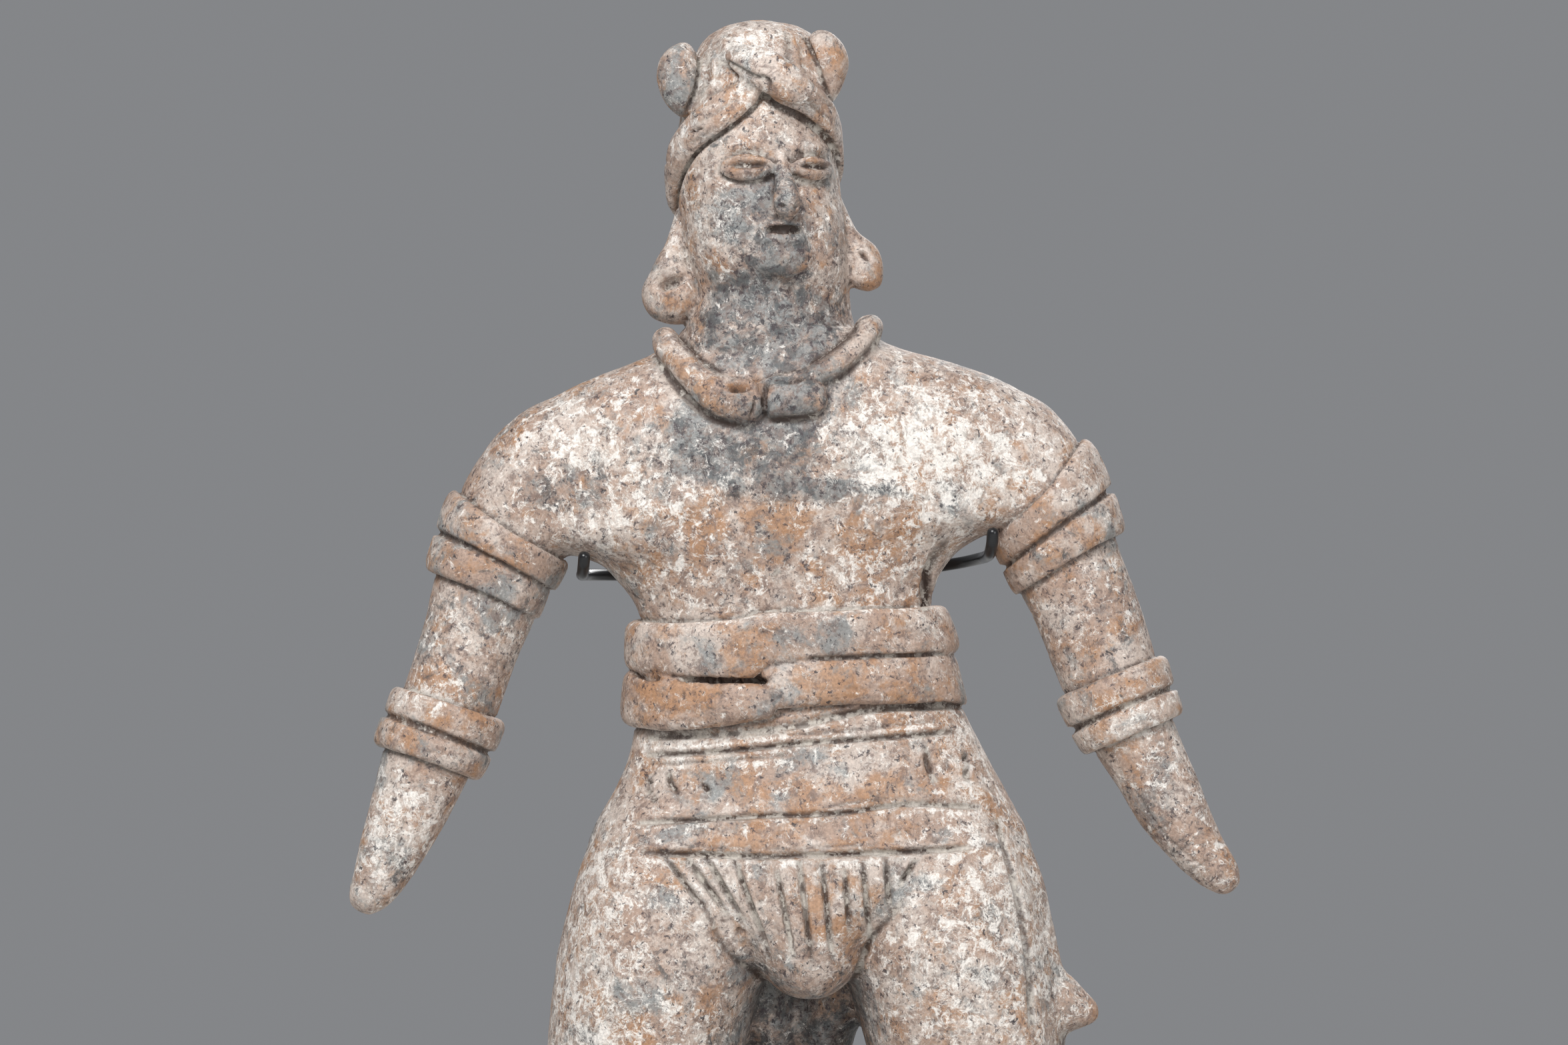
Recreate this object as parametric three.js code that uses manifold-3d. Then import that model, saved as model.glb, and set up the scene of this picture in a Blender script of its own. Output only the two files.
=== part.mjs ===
// A standing female figure of fired clay in the Colima manner, on the wire cradle that holds it up.
// Millimetres, +Z up. The figure faces -Y and its left and right are the viewer's.
// The origin is the centre of the underside of the stand's base plate.
import * as THREE from "three";
import { mergeVertices } from "three/addons/utils/BufferGeometryUtils.js";
import Module from "manifold-3d";

const wasm = await Module();
wasm.setup();

// Driving dimensions
const BASE = { width: 150, depth: 124, thickness: 6, corner: 6, bevel: 0.8, centreY: 12 };
const POST = { radius: 3, y: 56, bend: 214, top: 252, topY: 29, sides: 8 };
const PRONG = { radius: 1.6, sides: 6, steps: 18 };
const SOLE = BASE.thickness;
const MIRROR_X = 1.75; // the plane between the legs
const SEAT_MIRROR_X = -0.5; // the cleft of the seat
const HEAD = { axis: [-10.6, 0], turn: 16, lift: -4, pivot: 330 };
const BAND_SINK = 2; // how deep a strip of clay is bedded in the body under it
const STRIP_SECTION = [[0, -1], [0.2, 1], [0.8, 1], [1, -1]]; // across a strip: share of its width, in or out
const RING_GAP = 12; // the widest step between the rings of a form
const SIDES = { trunk: 16, head: 16, leg: 12, arm: 10, coil: 6, lobe: 8, small: 5 };

// Levels of the trunk: height, left, right, front, back, squareness
const TRUNK = [
  [142.8, -2.5, 7.5, -25, 0, 2],
  [149, -10.6, 14.6, -30.4, 5, 2],
  [158, -19.5, 21.5, -32.5, 15, 2],
  [168, -36, 39, -32.6, 29, 2.2],
  [177, -56, 61.5, -31.3, 33, 2.4],
  [184, -56.5, 62, -29.8, 32.5, 2.4],
  [194.5, -51.5, 57.2, -27, 29, 2.4],
  [205, -46.7, 51.4, -24.2, 24, 2.4],
  [216, -44.1, 45.8, -22, 19.5, 2.4],
  [231, -42.8, 40.6, -20.8, 18, 2.4],
  [244, -43, 36, -20.8, 17.5, 2.4],
  [249, -45, 35.2, -21.4, 18, 2.4],
  [259, -54.8, 40.2, -23.2, 19, 2.4],
  [262.5, -68, 43.5, -24, 19.3, 2.4],
  [266.5, -75, 51, -24.6, 19.5, 2.5],
  [271.5, -77, 66, -25, 20, 2.5],
  [289, -76, 71, -25, 20, 2.4],
  [297, -72.5, 68.5, -24, 19.3, 2.3],
  [303, -66.5, 62, -22.6, 18.5, 2.2],
  [308.5, -56, 51.5, -21, 17.5, 2.1],
  [313.5, -43, 37, -19.5, 17, 2],
  [317.5, -34.5, 24, -18, 16.5, 2],
  [322, -31.5, 17.5, -17, 16, 2],
];

// Levels of one leg, the viewer's left, down to the plain ankle
const LEG = [
  [SOLE, -50.5, -21.5, -16, 15.5, 2.1],
  [18, -50, -22, -15.5, 15.5, 2.1],
  [40, -51.5, -23.5, -16.5, 17.5, 2.1],
  [70, -60.5, -23, -22, 24, 2.1],
  [102, -68, -20, -27.5, 31, 2.1],
  [116, -69, -17.5, -29.5, 33.5, 2.1],
  [137, -67.6, -12.3, -31.8, 35.5, 2.1],
  [156, -64.8, -6.6, -32.2, 34.8, 2.2],
  [170, -61.2, -5.2, -30.6, 32, 2.3],
  [182, -56.8, -7, -27.4, 28, 2.4],
  [194, -50, -12, -22, 22, 2.4],
];
const FOOT = [
  [SOLE, -52.5, -19.5, -36, 15, 2.2],
  [9.5, -53, -19, -37, 15.5, 2.2],
  [14, -52, -20, -33.5, 15.5, 2.2],
  [19, -50.5, -21.5, -26, 15, 2.2],
  [23.5, -48, -24.5, -18, 12, 2.2],
];

// One side of the low seat, seen dark between the thighs
const SEAT = [
  [115.5, -10.5, -2.5, 22, 36, 2],
  [123.5, -15, 0.6, 9, 44, 2.1],
  [130, -16.6, 1.6, 4, 46.5, 2.1],
  [139, -24, 2.2, 2, 47.5, 2.2],
  [150, -32, 2.4, 0, 46.5, 2.2],
  [176, -36, 2.2, 0, 38, 2.2],
  [206, -28, 1.6, 0, 22.5, 2.2],
];

// The head and neck in their own frame, before the head is turned
const SKULL = [
  [312, -34, 21, -17, 17, 2],
  [318, -32.5, 17.5, -18, 17.5, 2],
  [324.5, -30.4, 14.7, -18.4, 18, 2],
  [330, -28, 13.7, -19.6, 18.2, 2.1],
  [335, -28.6, 13, -22.3, 18.5, 2.2],
  [340, -30.4, 12.6, -23.8, 19, 2.2],
  [353, -32, 11.3, -24, 21, 2.2],
  [370, -32.3, 10.6, -22.6, 21.5, 2.2],
  [388, -29.4, 9, -19.6, 19.5, 2.2],
  [396, -27.2, 7.8, -16.6, 17.4, 2.2],
  [401.4, -23.4, 5, -12.6, 13.6, 2.1],
  [404.3, -18, -0.4, -7.4, 8.4, 2],
  [405.5, -12.6, -6, -2.5, 3.5, 2],
];

// Arms: points down the middle, then half width and half depth
const LEFT_ARM = [
  [-52, -2, 292, 15, 15],
  [-64, -2, 285.2, 17.6, 17],
  [-72.3, -2, 277, 17.4, 16.6],
  [-78, -2, 268, 16.2, 15.6],
  [-81.6, -2.4, 259, 15.3, 14.8],
  [-88.5, -3.6, 237.5, 14, 13.6],
  [-92.4, -4.5, 226.2, 13.4, 13],
  [-98, -5.8, 211, 12.4, 12],
  [-104.1, -7.2, 194.3, 11, 10.6],
  [-113.2, -9.2, 173, 7.2, 7],
  [-116, -9.7, 168.6, 5.8, 5.5],
  [-117.9, -10, 165.8, 4, 3.8],
];
const RIGHT_ARM = [
  [47, -2, 293.4, 14.4, 14.5],
  [56.2, -2, 287.8, 16.6, 16.4],
  [63, -2, 279, 16.6, 16.2],
  [68, -2, 268, 15.8, 15.2],
  [72.2, -2.4, 257.5, 14.9, 14.4],
  [76.1, -3, 248.3, 14.3, 13.9],
  [79.9, -3.6, 237.5, 13.8, 13.4],
  [89.2, -5.6, 213, 12, 11.8],
  [94.2, -6.6, 203.6, 10.8, 10.6],
  [105.3, -8.7, 183.5, 8.2, 8.2],
  [111.3, -9.5, 176.6, 6.6, 6.4],
  [114.5, -9.9, 173.5, 5.3, 5],
  [116.4, -10.1, 171.8, 3.9, 3.6],
];

// Coils of the necklace, its pendant lump and bead
const NECKLACE = {
  leftCoil: [
    [-37.2, -6.5, 321.2, 1.6, 1.6],
    [-36.6, -8, 319.4, 3.8, 3.6],
    [-34.6, -12.5, 315, 3.8, 3.8],
    [-29, -18, 309.6, 4.3, 4.3],
    [-22.6, -22, 303.4, 5.2, 4.8],
    [-16, -23.6, 301.4, 6.4, 5],
    [-11.2, -23.8, 300.8, 5, 4.4],
    [-9.9, -23.8, 300.6, 3.4, 3.2],
  ],
  bead: [
    [-8.9, -24, 301.4, 3.6, 3.2],
    [-7.2, -24.2, 301.5, 5.1, 4.3],
    [0, -24.4, 302.2, 5.3, 4.5],
    [5, -23.8, 303, 4.6, 4],
    [6.8, -23.4, 303.3, 2.6, 2.4],
  ],
  rightCoil: [
    [19.6, -6.5, 324.2, 1.8, 1.8],
    [19, -8.5, 322.2, 3.9, 3.7],
    [14.8, -15, 315.4, 4.1, 4.1],
    [8.2, -19.6, 310.6, 3.8, 3.8],
    [2, -21.6, 308.2, 2.5, 2.6],
    [-5.6, -22.2, 307.4, 1.5, 1.8],
    [-11, -22.4, 305.8, 1.3, 1.6],
  ],
};

// Ear drops: a flat strap that swells to a ball
const LEFT_EAR = [
  [-30.5, 3, 357, 1.8, 3],
  [-32, 1.4, 350, 2, 3.4],
  [-33.7, -0.5, 343.4, 2.7, 4.6],
  [-34.5, -1.8, 337.4, 5.1, 5.6],
  [-34.5, -2.6, 330.6, 7.9, 7.4],
  [-33.8, -3, 325.4, 6.8, 6.4],
  [-33.6, -3, 322, 3, 2.8],
];
const RIGHT_EAR = [
  [9, 3, 359, 1.6, 3],
  [11.6, 1.4, 352, 2, 3.4],
  [13.6, 0, 346.4, 2.8, 4.2],
  [16.6, -1.4, 340.8, 5.3, 5.4],
  [17.4, -2, 336, 5.4, 5.6],
  [17, -2.2, 333.4, 4.6, 4.8],
  [16.6, -2.2, 331.6, 2, 2.2],
];

// Lobes of the headdress
const LEFT_LOBE = [
  [-30.8, -5, 397.6, 1.6, 2.4],
  [-31.4, -5.6, 395.4, 4.2, 5],
  [-32.6, -6.4, 391, 5.9, 6],
  [-32.6, -6.8, 385.6, 5.3, 5.6],
  [-31.4, -6.8, 380.8, 3.4, 4],
  [-30.8, -6.6, 378.4, 1.4, 2],
];
const RIGHT_LOBE = [
  [4.4, -2, 400.6, 2.2, 3],
  [5.6, -3, 398.4, 4.4, 5],
  [7.2, -4, 394, 5.7, 6],
  [7.4, -4.6, 389.4, 5, 5.4],
  [7.8, -5, 384.8, 3, 3.6],
  [8, -5, 382.4, 1.3, 1.8],
];
const FORELOCK = [
  [-10.5, -8, 402, 4, 3.4],
  [-10, -14, 397.6, 6.4, 4],
  [-9.4, -18.8, 392.4, 6.6, 4],
  [-8, -21.4, 388, 5.6, 3.6],
  [-6.6, -22.2, 384.6, 3.4, 2.6],
];

// Strips of clay laid round a form: bottom edge and top edge for each angle, and how proud it stands.
// An angle of -90 is the front of the form, 0 the viewer's right.
const BELTS = {
  upper: [
    [-180, 229.4, 242.8, 4.6],
    [-140, 228.4, 242.6, 4.2],
    [-112, 227.2, 243.1, 4],
    [-103, 227.4, 244, 4.1],
    [-97, 230.9, 245.4, 4],
    [-80, 232.3, 245.8, 4],
    [-50, 233, 246.1, 4],
    [0, 233.4, 246.4, 4.4],
    [80, 231.6, 245, 3.8],
    [180, 229.4, 242.8, 4.6],
  ],
  lowerLeft: [
    [-275, 217, 230, 3.2],
    [-235, 215.6, 229.6, 3.6],
    [-190, 214.6, 229.4, 4.7],
    [-160, 213.8, 228.8, 4.7],
    [-125, 213.8, 227.2, 4.6],
    [-100, 216.8, 226.2, 4.8],
    [-95, 218, 225.8, 4.4],
  ],
  lowerRight: [
    [-99, 219.2, 229.6, 3],
    [-92, 220, 231.6, 3.6],
    [-80, 220.8, 232.6, 4],
    [-50, 220.8, 234, 3.6],
    [-10, 219.6, 234.2, 2.3],
    [40, 219, 233, 3],
    [92, 217.4, 230.4, 3.2],
  ],
};
const HEADBAND = {
  left: [
    [-276, 352.5, 363.5, 2],
    [-230, 352, 364, 2.6],
    [-195, 355.5, 366.5, 3.2],
    [-176, 362, 372.5, 3.8],
    [-154, 367.8, 378, 3.6],
    [-126, 373, 384, 3.5],
    [-108, 378, 388.5, 3.3],
    [-99, 382, 389.5, 2.6],
  ],
  right: [
    [-103, 384, 391.5, 2.2],
    [-92, 379.4, 391.4, 3.2],
    [-74, 376, 387.5, 3.2],
    [-58, 372.8, 384.4, 3.2],
    [-38, 368.6, 380.6, 2.4],
    [-14, 362, 375.6, 1.5],
    [30, 355.5, 368, 1.6],
    [94, 353, 364, 2],
  ],
};

// Armbands: distance down the arm of the upper and lower edge, how far each edge climbs towards the
// viewer's right, and how proud the band stands outside and inside the arm
const LEFT_BANDS = [
  { from: 36.6, to: 46.8, climb: [-2.2, -2.4], outer: 3.2, inner: 2.6 },
  { from: 45.6, to: 56, climb: [-2.2, -1.8], outer: 3.5, inner: 1 },
  { from: 86.4, to: 95.6, climb: [0.4, 0], outer: 3, inner: 3.4 },
  { from: 94.6, to: 103.4, climb: [0, 0], outer: 3.5, inner: 3.2 },
];
const RIGHT_BANDS = [
  { from: 24.6, to: 35.4, climb: [6, 4.6], outer: 3.2, inner: 1.4 },
  { from: 34.4, to: 44.9, climb: [4.4, 2.2], outer: 3.5, inner: 1.6 },
  { from: 77, to: 86.8, climb: [0.6, 0.2], outer: 3, inner: 3.2 },
  { from: 85.8, to: 94.4, climb: [0.2, -0.6], outer: 3.2, inner: 3.2 },
];

// Incised lines of the wrapped skirt, as seen from the front: x and height
const GROOVE = { depth: 1, width: 1.5 };
const SKIRT_LINES = [
  [[-40.5, 211.6], [-18, 213], [0, 215.3], [19, 219.3], [28, 220]],
  [[-40.5, 207], [-18, 208.6], [0.5, 210.5], [20, 211.8], [41, 213.3]],
  [[-43, 189.3], [-11, 191.4], [10, 192.2], [28, 194.5], [47.5, 193.4]],
  [[-41.5, 181.8], [-11, 181], [4, 181.4], [24, 182], [44.5, 182.9]],
];
const FRINGE = [
  [[-35.5, 180.4], [-25.7, 167.7]],
  [[-29.5, 179.8], [-19.5, 166]],
  [[-24.6, 180.4], [-15.3, 164]],
  [[-17.5, 180.4], [-8.1, 154.2]],
  [[-6.3, 177.3], [-1.8, 154.2]],
  [[-0.4, 179.6], [3.1, 152.8]],
  [[5.6, 179.6], [8.6, 153.4]],
  [[11.7, 177.3], [13.1, 161.6]],
  [[16.4, 179.6], [18.4, 160.1]],
  [[22.5, 180.4], [23.6, 166.8]],
  [[30.2, 179.6], [26.5, 173.6]],
];
const HIP_LINE = [[52.4, 189.6], [56.4, 175], [59.4, 162], [61, 150], [61.4, 136]];
const HIP_STRIP = [
  [56.5, -4, 188, 3.4, 6],
  [60, -4, 175, 4.8, 8.6],
  [63.4, -4, 160, 4.9, 9],
  [65.2, -5, 147, 5.4, 9],
  [66, -5, 138, 5.4, 8],
];
const HIP_KNOB = [
  [60, -4, 141.2, 9.6, 9],
  [69.5, -5, 139.4, 8.9, 8.4],
  [74.6, -5.4, 138, 6.2, 5.8],
  [78.6, -5.8, 137, 3.6, 3.4],
  [80.8, -6, 136.4, 1.8, 1.8],
];

// The face: plain features on even thirds of its height, the same on both sides
const FACE = {
  hairline: 381,
  chin: 335,
  width: 43,
  eyePad: { wide: 6.3, high: 3.5, deep: 2.6, proud: 0.2 },
  eyeSlit: { high: 1.1, deep: 2.2, proud: 2.6 },
  mouthSlit: { wide: 5, high: 1, deep: 2.4, proud: 0.8 },
  lowerLip: { wide: 6.2, high: 2, deep: 1.9, proud: 0.2, bow: -0.6 },
  upperLip: { wide: 4.3, high: 1.2, deep: 1.3, proud: 0, bow: 0.3 },
};
const THIRD = (FACE.hairline - FACE.chin) / 3;
const LEVEL = {
  brow: FACE.hairline - THIRD,
  eye: FACE.hairline - 1.24 * THIRD,
  noseBase: FACE.chin + THIRD,
  mouth: FACE.chin + (2 * THIRD) / 3,
  lip: FACE.chin + 0.47 * THIRD,
};
const EYE_OFFSET = FACE.width / 5;

// The ridge of the nose: level, how far its middle stands off the face, half width
const NOSE = [
  [LEVEL.brow + 1, -0.6, 1.6],
  [LEVEL.brow - 4, 0.8, 2.3],
  [LEVEL.brow - 9, 2.4, 3.2],
  [LEVEL.noseBase + 2.6, 3.6, 4],
  [LEVEL.noseBase, 2.4, 3.6],
  [LEVEL.noseBase - 1, 0.6, 2.2],
];
const NOSE_FLATNESS = 0.85;

// Openings pressed into the ear drops and the pendant
const PRESSED = [
  { centre: [-34.3, -8.6, 333.6], along: [0.93, -0.1, 0.36], long: 4, high: 1.6, deep: 3 },
  { centre: [17.4, -7.4, 341], along: [0.8, 0, -0.5], long: 2, high: 0.9, deep: 2 },
  { centre: [-16, -27.2, 305.4], along: [1, 0, 0.1], long: 3.3, high: 1.4, deep: 3.4 },
];

// The fork's wire, from the tip under one arm, round the back to the other tip
const FORK_ROUTE = [
  [-57.4, -21.6, 261],
  [-57.6, -20.6, 258],
  [-58, -16, 255.6],
  [-58.6, -4, 255.2],
  [-57.6, 10, 255],
  [-48, 20.5, 254.8],
  [-28, 23.6, 254.6],
  [0, 24, 254.6],
  [26, 23.6, 255.6],
  [43, 19.5, 258],
  [49.6, 9, 259.6],
  [50, -3, 260],
  [50.6, -16, 261],
  [51, -20.4, 263.6],
  [51.2, -21.4, 267.4],
];

// Values that run smoothly through rows of numbers; the first number of a row is its key.
function smoothRows(rows) {
  const slopes = rows.map((row, i) => {
    const before = rows[Math.max(i - 1, 0)];
    const after = rows[Math.min(i + 1, rows.length - 1)];
    return row.map((_, k) => (after[k] - before[k]) / (after[0] - before[0]));
  });
  return (key) => {
    let i = 0;
    while (i < rows.length - 2 && key > rows[i + 1][0]) i += 1;
    const span = rows[i + 1][0] - rows[i][0];
    const t = THREE.MathUtils.clamp((key - rows[i][0]) / span, 0, 1);
    const rise = t * t * (3 - 2 * t);
    const leave = t * (1 - t) * (1 - t) * span;
    const arrive = t * t * (t - 1) * span;
    return rows[i].map(
      (value, k) =>
        value + (rows[i + 1][k] - value) * rise + slopes[i][k] * leave + slopes[i + 1][k] * arrive,
    );
  };
}

// A signed power, which squares up a circle.
const squared = (value, power) => Math.sign(value) * Math.abs(value) ** (2 / power);

// A form stacked from level ovals. Its point is asked for by height and angle.
function levelForm(rows, place = new THREE.Matrix4()) {
  const at = smoothRows(rows);
  return {
    low: rows[0][0],
    high: rows.at(-1)[0],
    keys: rows.map((row) => row[0]),
    point(height, angle) {
      const [, left, right, front, back, power] = at(height);
      const turn = THREE.MathUtils.degToRad(angle);
      const x = (left + right) / 2 + ((right - left) / 2) * squared(Math.cos(turn), power);
      const y = (front + back) / 2 + ((back - front) / 2) * squared(Math.sin(turn), power);
      return new THREE.Vector3(x, y, height).applyMatrix4(place);
    },
    // The angle at which the front shows a given x, or nothing where the form isn't that wide.
    angleAt(height, x) {
      const [, left, right, , , power] = at(height);
      const across = (2 * x - left - right) / (right - left);
      if (Math.abs(across) > 0.995) return undefined;
      const cosine = Math.sign(across) * Math.abs(across) ** (power / 2);
      return -THREE.MathUtils.radToDeg(Math.acos(cosine));
    },
  };
}

// A form swept along stations of x, y, z, half width and half depth. Its point is asked for by the
// distance along the middle and the angle round it.
function tubeForm(stations, place = new THREE.Matrix4(), depthAxis = new THREE.Vector3(0, 1, 0)) {
  let run = 0;
  const rows = stations.map((station, i) => {
    const before = new THREE.Vector3(...(stations[i - 1] ?? station));
    run += before.distanceTo(new THREE.Vector3(...station));
    return [run, ...station];
  });
  const at = smoothRows(rows);
  const middle = (distance) => new THREE.Vector3(...at(distance).slice(1, 4));
  return {
    low: 0,
    high: run,
    keys: rows.map((row) => row[0]),
    point(distance, angle) {
      const [, , , , wide, deep] = at(distance);
      const tangent = middle(Math.min(distance + 0.5, run))
        .sub(middle(Math.max(distance - 0.5, 0)))
        .normalize();
      const side = tangent.clone().cross(depthAxis).normalize();
      const depth = side.clone().cross(tangent);
      const turn = THREE.MathUtils.degToRad(angle);
      return middle(distance)
        .addScaledVector(side, wide * Math.cos(turn))
        .addScaledVector(depth, deep * Math.sin(turn))
        .applyMatrix4(place);
    },
  };
}

// The outward direction of a form's skin.
function outward(form, key, angle) {
  const step = 0.4;
  const along = form
    .point(Math.min(key + step, form.high), angle)
    .sub(form.point(Math.max(key - step, form.low), angle));
  const around = form.point(key, angle + step).sub(form.point(key, angle - step));
  const normal = around.cross(along).normalize();
  const fromMiddle = form.point(key, angle).sub(form.point(key, angle + 180));
  return normal.dot(fromMiddle) < 0 ? normal.negate() : normal;
}

// A closed solid from rings of points. A loop joins its last ring to its first, and the rest is capped.
function skin(rings, loop = false) {
  const sides = rings[0].length;
  const points = rings.flat();
  const index = [];
  const bands = loop ? rings.length : rings.length - 1;
  for (let i = 0; i < bands; i += 1) {
    for (let k = 0; k < sides; k += 1) {
      const [a, b] = [i * sides + k, i * sides + ((k + 1) % sides)];
      const next = ((i + 1) % rings.length) * sides;
      const [c, d] = [next + k, next + ((k + 1) % sides)];
      index.push(a, b, d, a, d, c);
    }
  }
  if (!loop) {
    [0, rings.length - 1].forEach((end) => {
      const hub = points.length;
      const total = rings[end].reduce((sum, point) => sum.add(point), new THREE.Vector3());
      points.push(total.divideScalar(sides));
      for (let k = 0; k < sides; k += 1) {
        const [a, b] = [end * sides + k, end * sides + ((k + 1) % sides)];
        index.push(...(end ? [a, b, hub] : [b, a, hub]));
      }
    });
  }
  const geometry = new THREE.BufferGeometry().setFromPoints(points).setIndex(index);
  return solidOf(geometry);
}

// A three.js geometry as a solid with its faces pointing out.
function solidOf(geometry) {
  geometry.deleteAttribute("normal");
  geometry.deleteAttribute("uv");
  const merged = mergeVertices(geometry, 1e-4);
  const make = (triVerts) =>
    new wasm.Manifold(
      new wasm.Mesh({
        numProp: 3,
        vertProperties: new Float32Array(merged.attributes.position.array),
        triVerts,
      }),
    );
  const faces = Array.from(merged.index.array);
  const solid = make(new Uint32Array(faces));
  if (solid.volume() > 0) return solid;
  for (let i = 0; i < faces.length; i += 3) [faces[i], faces[i + 1]] = [faces[i + 1], faces[i]];
  return make(new Uint32Array(faces));
}

// The rings of a form: one at each station, and more where the stations lie far apart.
function formSolid(form, sides, gap = RING_GAP) {
  const keys = [form.keys[0]];
  form.keys.slice(1).forEach((key) => {
    const last = keys.at(-1);
    const pieces = Math.max(Math.ceil((key - last) / gap), 1);
    for (let i = 1; i <= pieces; i += 1) keys.push(last + ((key - last) * i) / pieces);
  });
  return skin(
    keys.map((key) =>
      Array.from({ length: sides }, (_, k) => form.point(key, (360 * k) / sides)),
    ),
  );
}

// A strip of clay laid round a form: a rounded section that follows the skin from angle to angle.
function strip(form, edges, { steps, loop = false }) {
  const at = smoothRows(edges);
  const [first, last] = [edges[0][0], edges.at(-1)[0]];
  const count = loop ? steps : steps + 1;
  const rings = Array.from({ length: count }, (_, i) => {
    const angle = first + ((last - first) * i) / steps;
    const [, bottom, top, proud] = at(angle);
    return STRIP_SECTION.map(([up, out]) => {
      const key = THREE.MathUtils.lerp(bottom, top, up);
      const lift = out > 0 ? out * proud : -BAND_SINK;
      return form.point(key, angle).addScaledVector(outward(form, key, angle), lift);
    });
  });
  return skin(rings, loop);
}

// An armband: a closed strip round the arm. The outside is away from the trunk.
function armband(form, { from, to, climb, outer, inner }, outside) {
  const edges = [];
  for (let angle = -180; angle <= 180; angle += 30) {
    const rightward = Math.cos(THREE.MathUtils.degToRad(angle));
    const share = (1 + outside * rightward) / 2;
    const proud = THREE.MathUtils.lerp(inner, outer, share);
    edges.push([angle, from - climb[0] * rightward, to - climb[1] * rightward, proud]);
  }
  return strip(form, edges, { steps: SIDES.arm, loop: true });
}

// The foremost skin of several level forms at a given x and height: its point and outward direction.
function foremost(forms, x, height) {
  const found = forms
    .filter((form) => height >= form.low && height <= form.high)
    .map((form) => ({ form, angle: form.angleAt(height, x) }))
    .filter(({ angle }) => angle !== undefined)
    .map(({ form, angle }) => ({
      point: form.point(height, angle),
      normal: outward(form, height, angle),
    }));
  return found.reduce((best, next) => (next.point.y < best.point.y ? next : best));
}

// An incised line on the front of level forms, V-shaped, through points of x and height.
function incised(forms, points, { depth, width }, steps) {
  const at = smoothRows(points.map(([x, height], i) => [i, x, height]));
  const rings = Array.from({ length: steps + 1 }, (_, i) => {
    const t = ((points.length - 1) * i) / steps;
    const [, x, height] = at(t);
    const [, nextX, nextHeight] = at(Math.min(t + 0.05, points.length - 1));
    const [, lastX, lastHeight] = at(Math.max(t - 0.05, 0));
    const along = new THREE.Vector3(nextX - lastX, 0, nextHeight - lastHeight).normalize();
    const { point: middle, normal } = foremost(forms, x, height);
    const across = normal.clone().cross(along).normalize();
    const taper = i === 0 || i === steps ? 0.35 : 1;
    const rise = 1.2;
    const flare = (width / 2) * (1 + rise / depth) * taper;
    return [
      middle.clone().addScaledVector(normal, -depth * taper),
      middle.clone().addScaledVector(normal, rise).addScaledVector(across, flare),
      middle.clone().addScaledVector(normal, rise).addScaledVector(across, -flare),
    ];
  });
  return skin(rings);
}

// A lens shape along stations: its thickness falls off to each end.
const LENS_STATIONS = [-1, -0.62, 0, 0.62, 1];
const lensSwell = (t) => Math.max(Math.sqrt(1 - t * t), 0.16);

// A slit: a thin lens pressed into the clay, long along one direction.
function slit({ centre, along, long, high, deep }) {
  const direction = new THREE.Vector3(...along).normalize();
  const stations = LENS_STATIONS.map((t) => {
    const at = new THREE.Vector3(...centre).addScaledVector(direction, t * long);
    return [at.x, at.y, at.z, high * lensSwell(t), deep * lensSwell(t)];
  });
  return formSolid(tubeForm(stations), SIDES.small, Infinity);
}

// The frame in which the head is built: turned towards the viewer's right and lifted a little.
const headPlace = new THREE.Matrix4()
  .makeTranslation(HEAD.axis[0], HEAD.axis[1], HEAD.pivot)
  .multiply(new THREE.Matrix4().makeRotationZ(THREE.MathUtils.degToRad(HEAD.turn)))
  .multiply(new THREE.Matrix4().makeRotationX(THREE.MathUtils.degToRad(HEAD.lift)))
  .multiply(new THREE.Matrix4().makeTranslation(-HEAD.axis[0], -HEAD.axis[1], -HEAD.pivot));

const mirrored = (rows, middle = MIRROR_X) =>
  rows.map(([height, left, right, front, back, power]) => [
    height,
    2 * middle - right,
    2 * middle - left,
    front,
    back,
    power,
  ]);

const trunk = levelForm(TRUNK);
const skull = levelForm(SKULL, headPlace);
const leftLeg = levelForm(LEG);
const rightLeg = levelForm(mirrored(LEG));
const front = [trunk, leftLeg, rightLeg];
const leftArm = tubeForm(LEFT_ARM);
const rightArm = tubeForm(RIGHT_ARM);

// Joins solids into one.
const joined = (solids) => solids.reduce((sum, solid) => sum.add(solid));

function body() {
  return joined([
    formSolid(trunk, SIDES.trunk),
    formSolid(levelForm(SEAT), SIDES.lobe, 20),
    formSolid(levelForm(mirrored(SEAT, SEAT_MIRROR_X)), SIDES.lobe, 20),
    formSolid(leftLeg, SIDES.leg, 20),
    formSolid(rightLeg, SIDES.leg, 20),
    formSolid(levelForm(FOOT), SIDES.lobe),
    formSolid(levelForm(mirrored(FOOT)), SIDES.lobe),
    formSolid(leftArm, SIDES.arm, 16),
    formSolid(rightArm, SIDES.arm, 16),
    formSolid(tubeForm(HIP_STRIP), SIDES.lobe),
    formSolid(tubeForm(HIP_KNOB), SIDES.lobe),
  ]);
}

function dress() {
  const { upper, lowerLeft, lowerRight } = BELTS;
  const halfway = SIDES.trunk / 2 + 1;
  return joined([
    strip(trunk, upper, { steps: SIDES.trunk, loop: true }),
    strip(trunk, lowerRight, { steps: halfway }),
    strip(trunk, lowerLeft, { steps: halfway }),
    ...LEFT_BANDS.map((band) => armband(leftArm, band, -1)),
    ...RIGHT_BANDS.map((band) => armband(rightArm, band, 1)),
    formSolid(tubeForm(NECKLACE.rightCoil), SIDES.coil),
    formSolid(tubeForm(NECKLACE.leftCoil), SIDES.coil),
    formSolid(tubeForm(NECKLACE.bead), SIDES.coil),
  ]);
}

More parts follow.
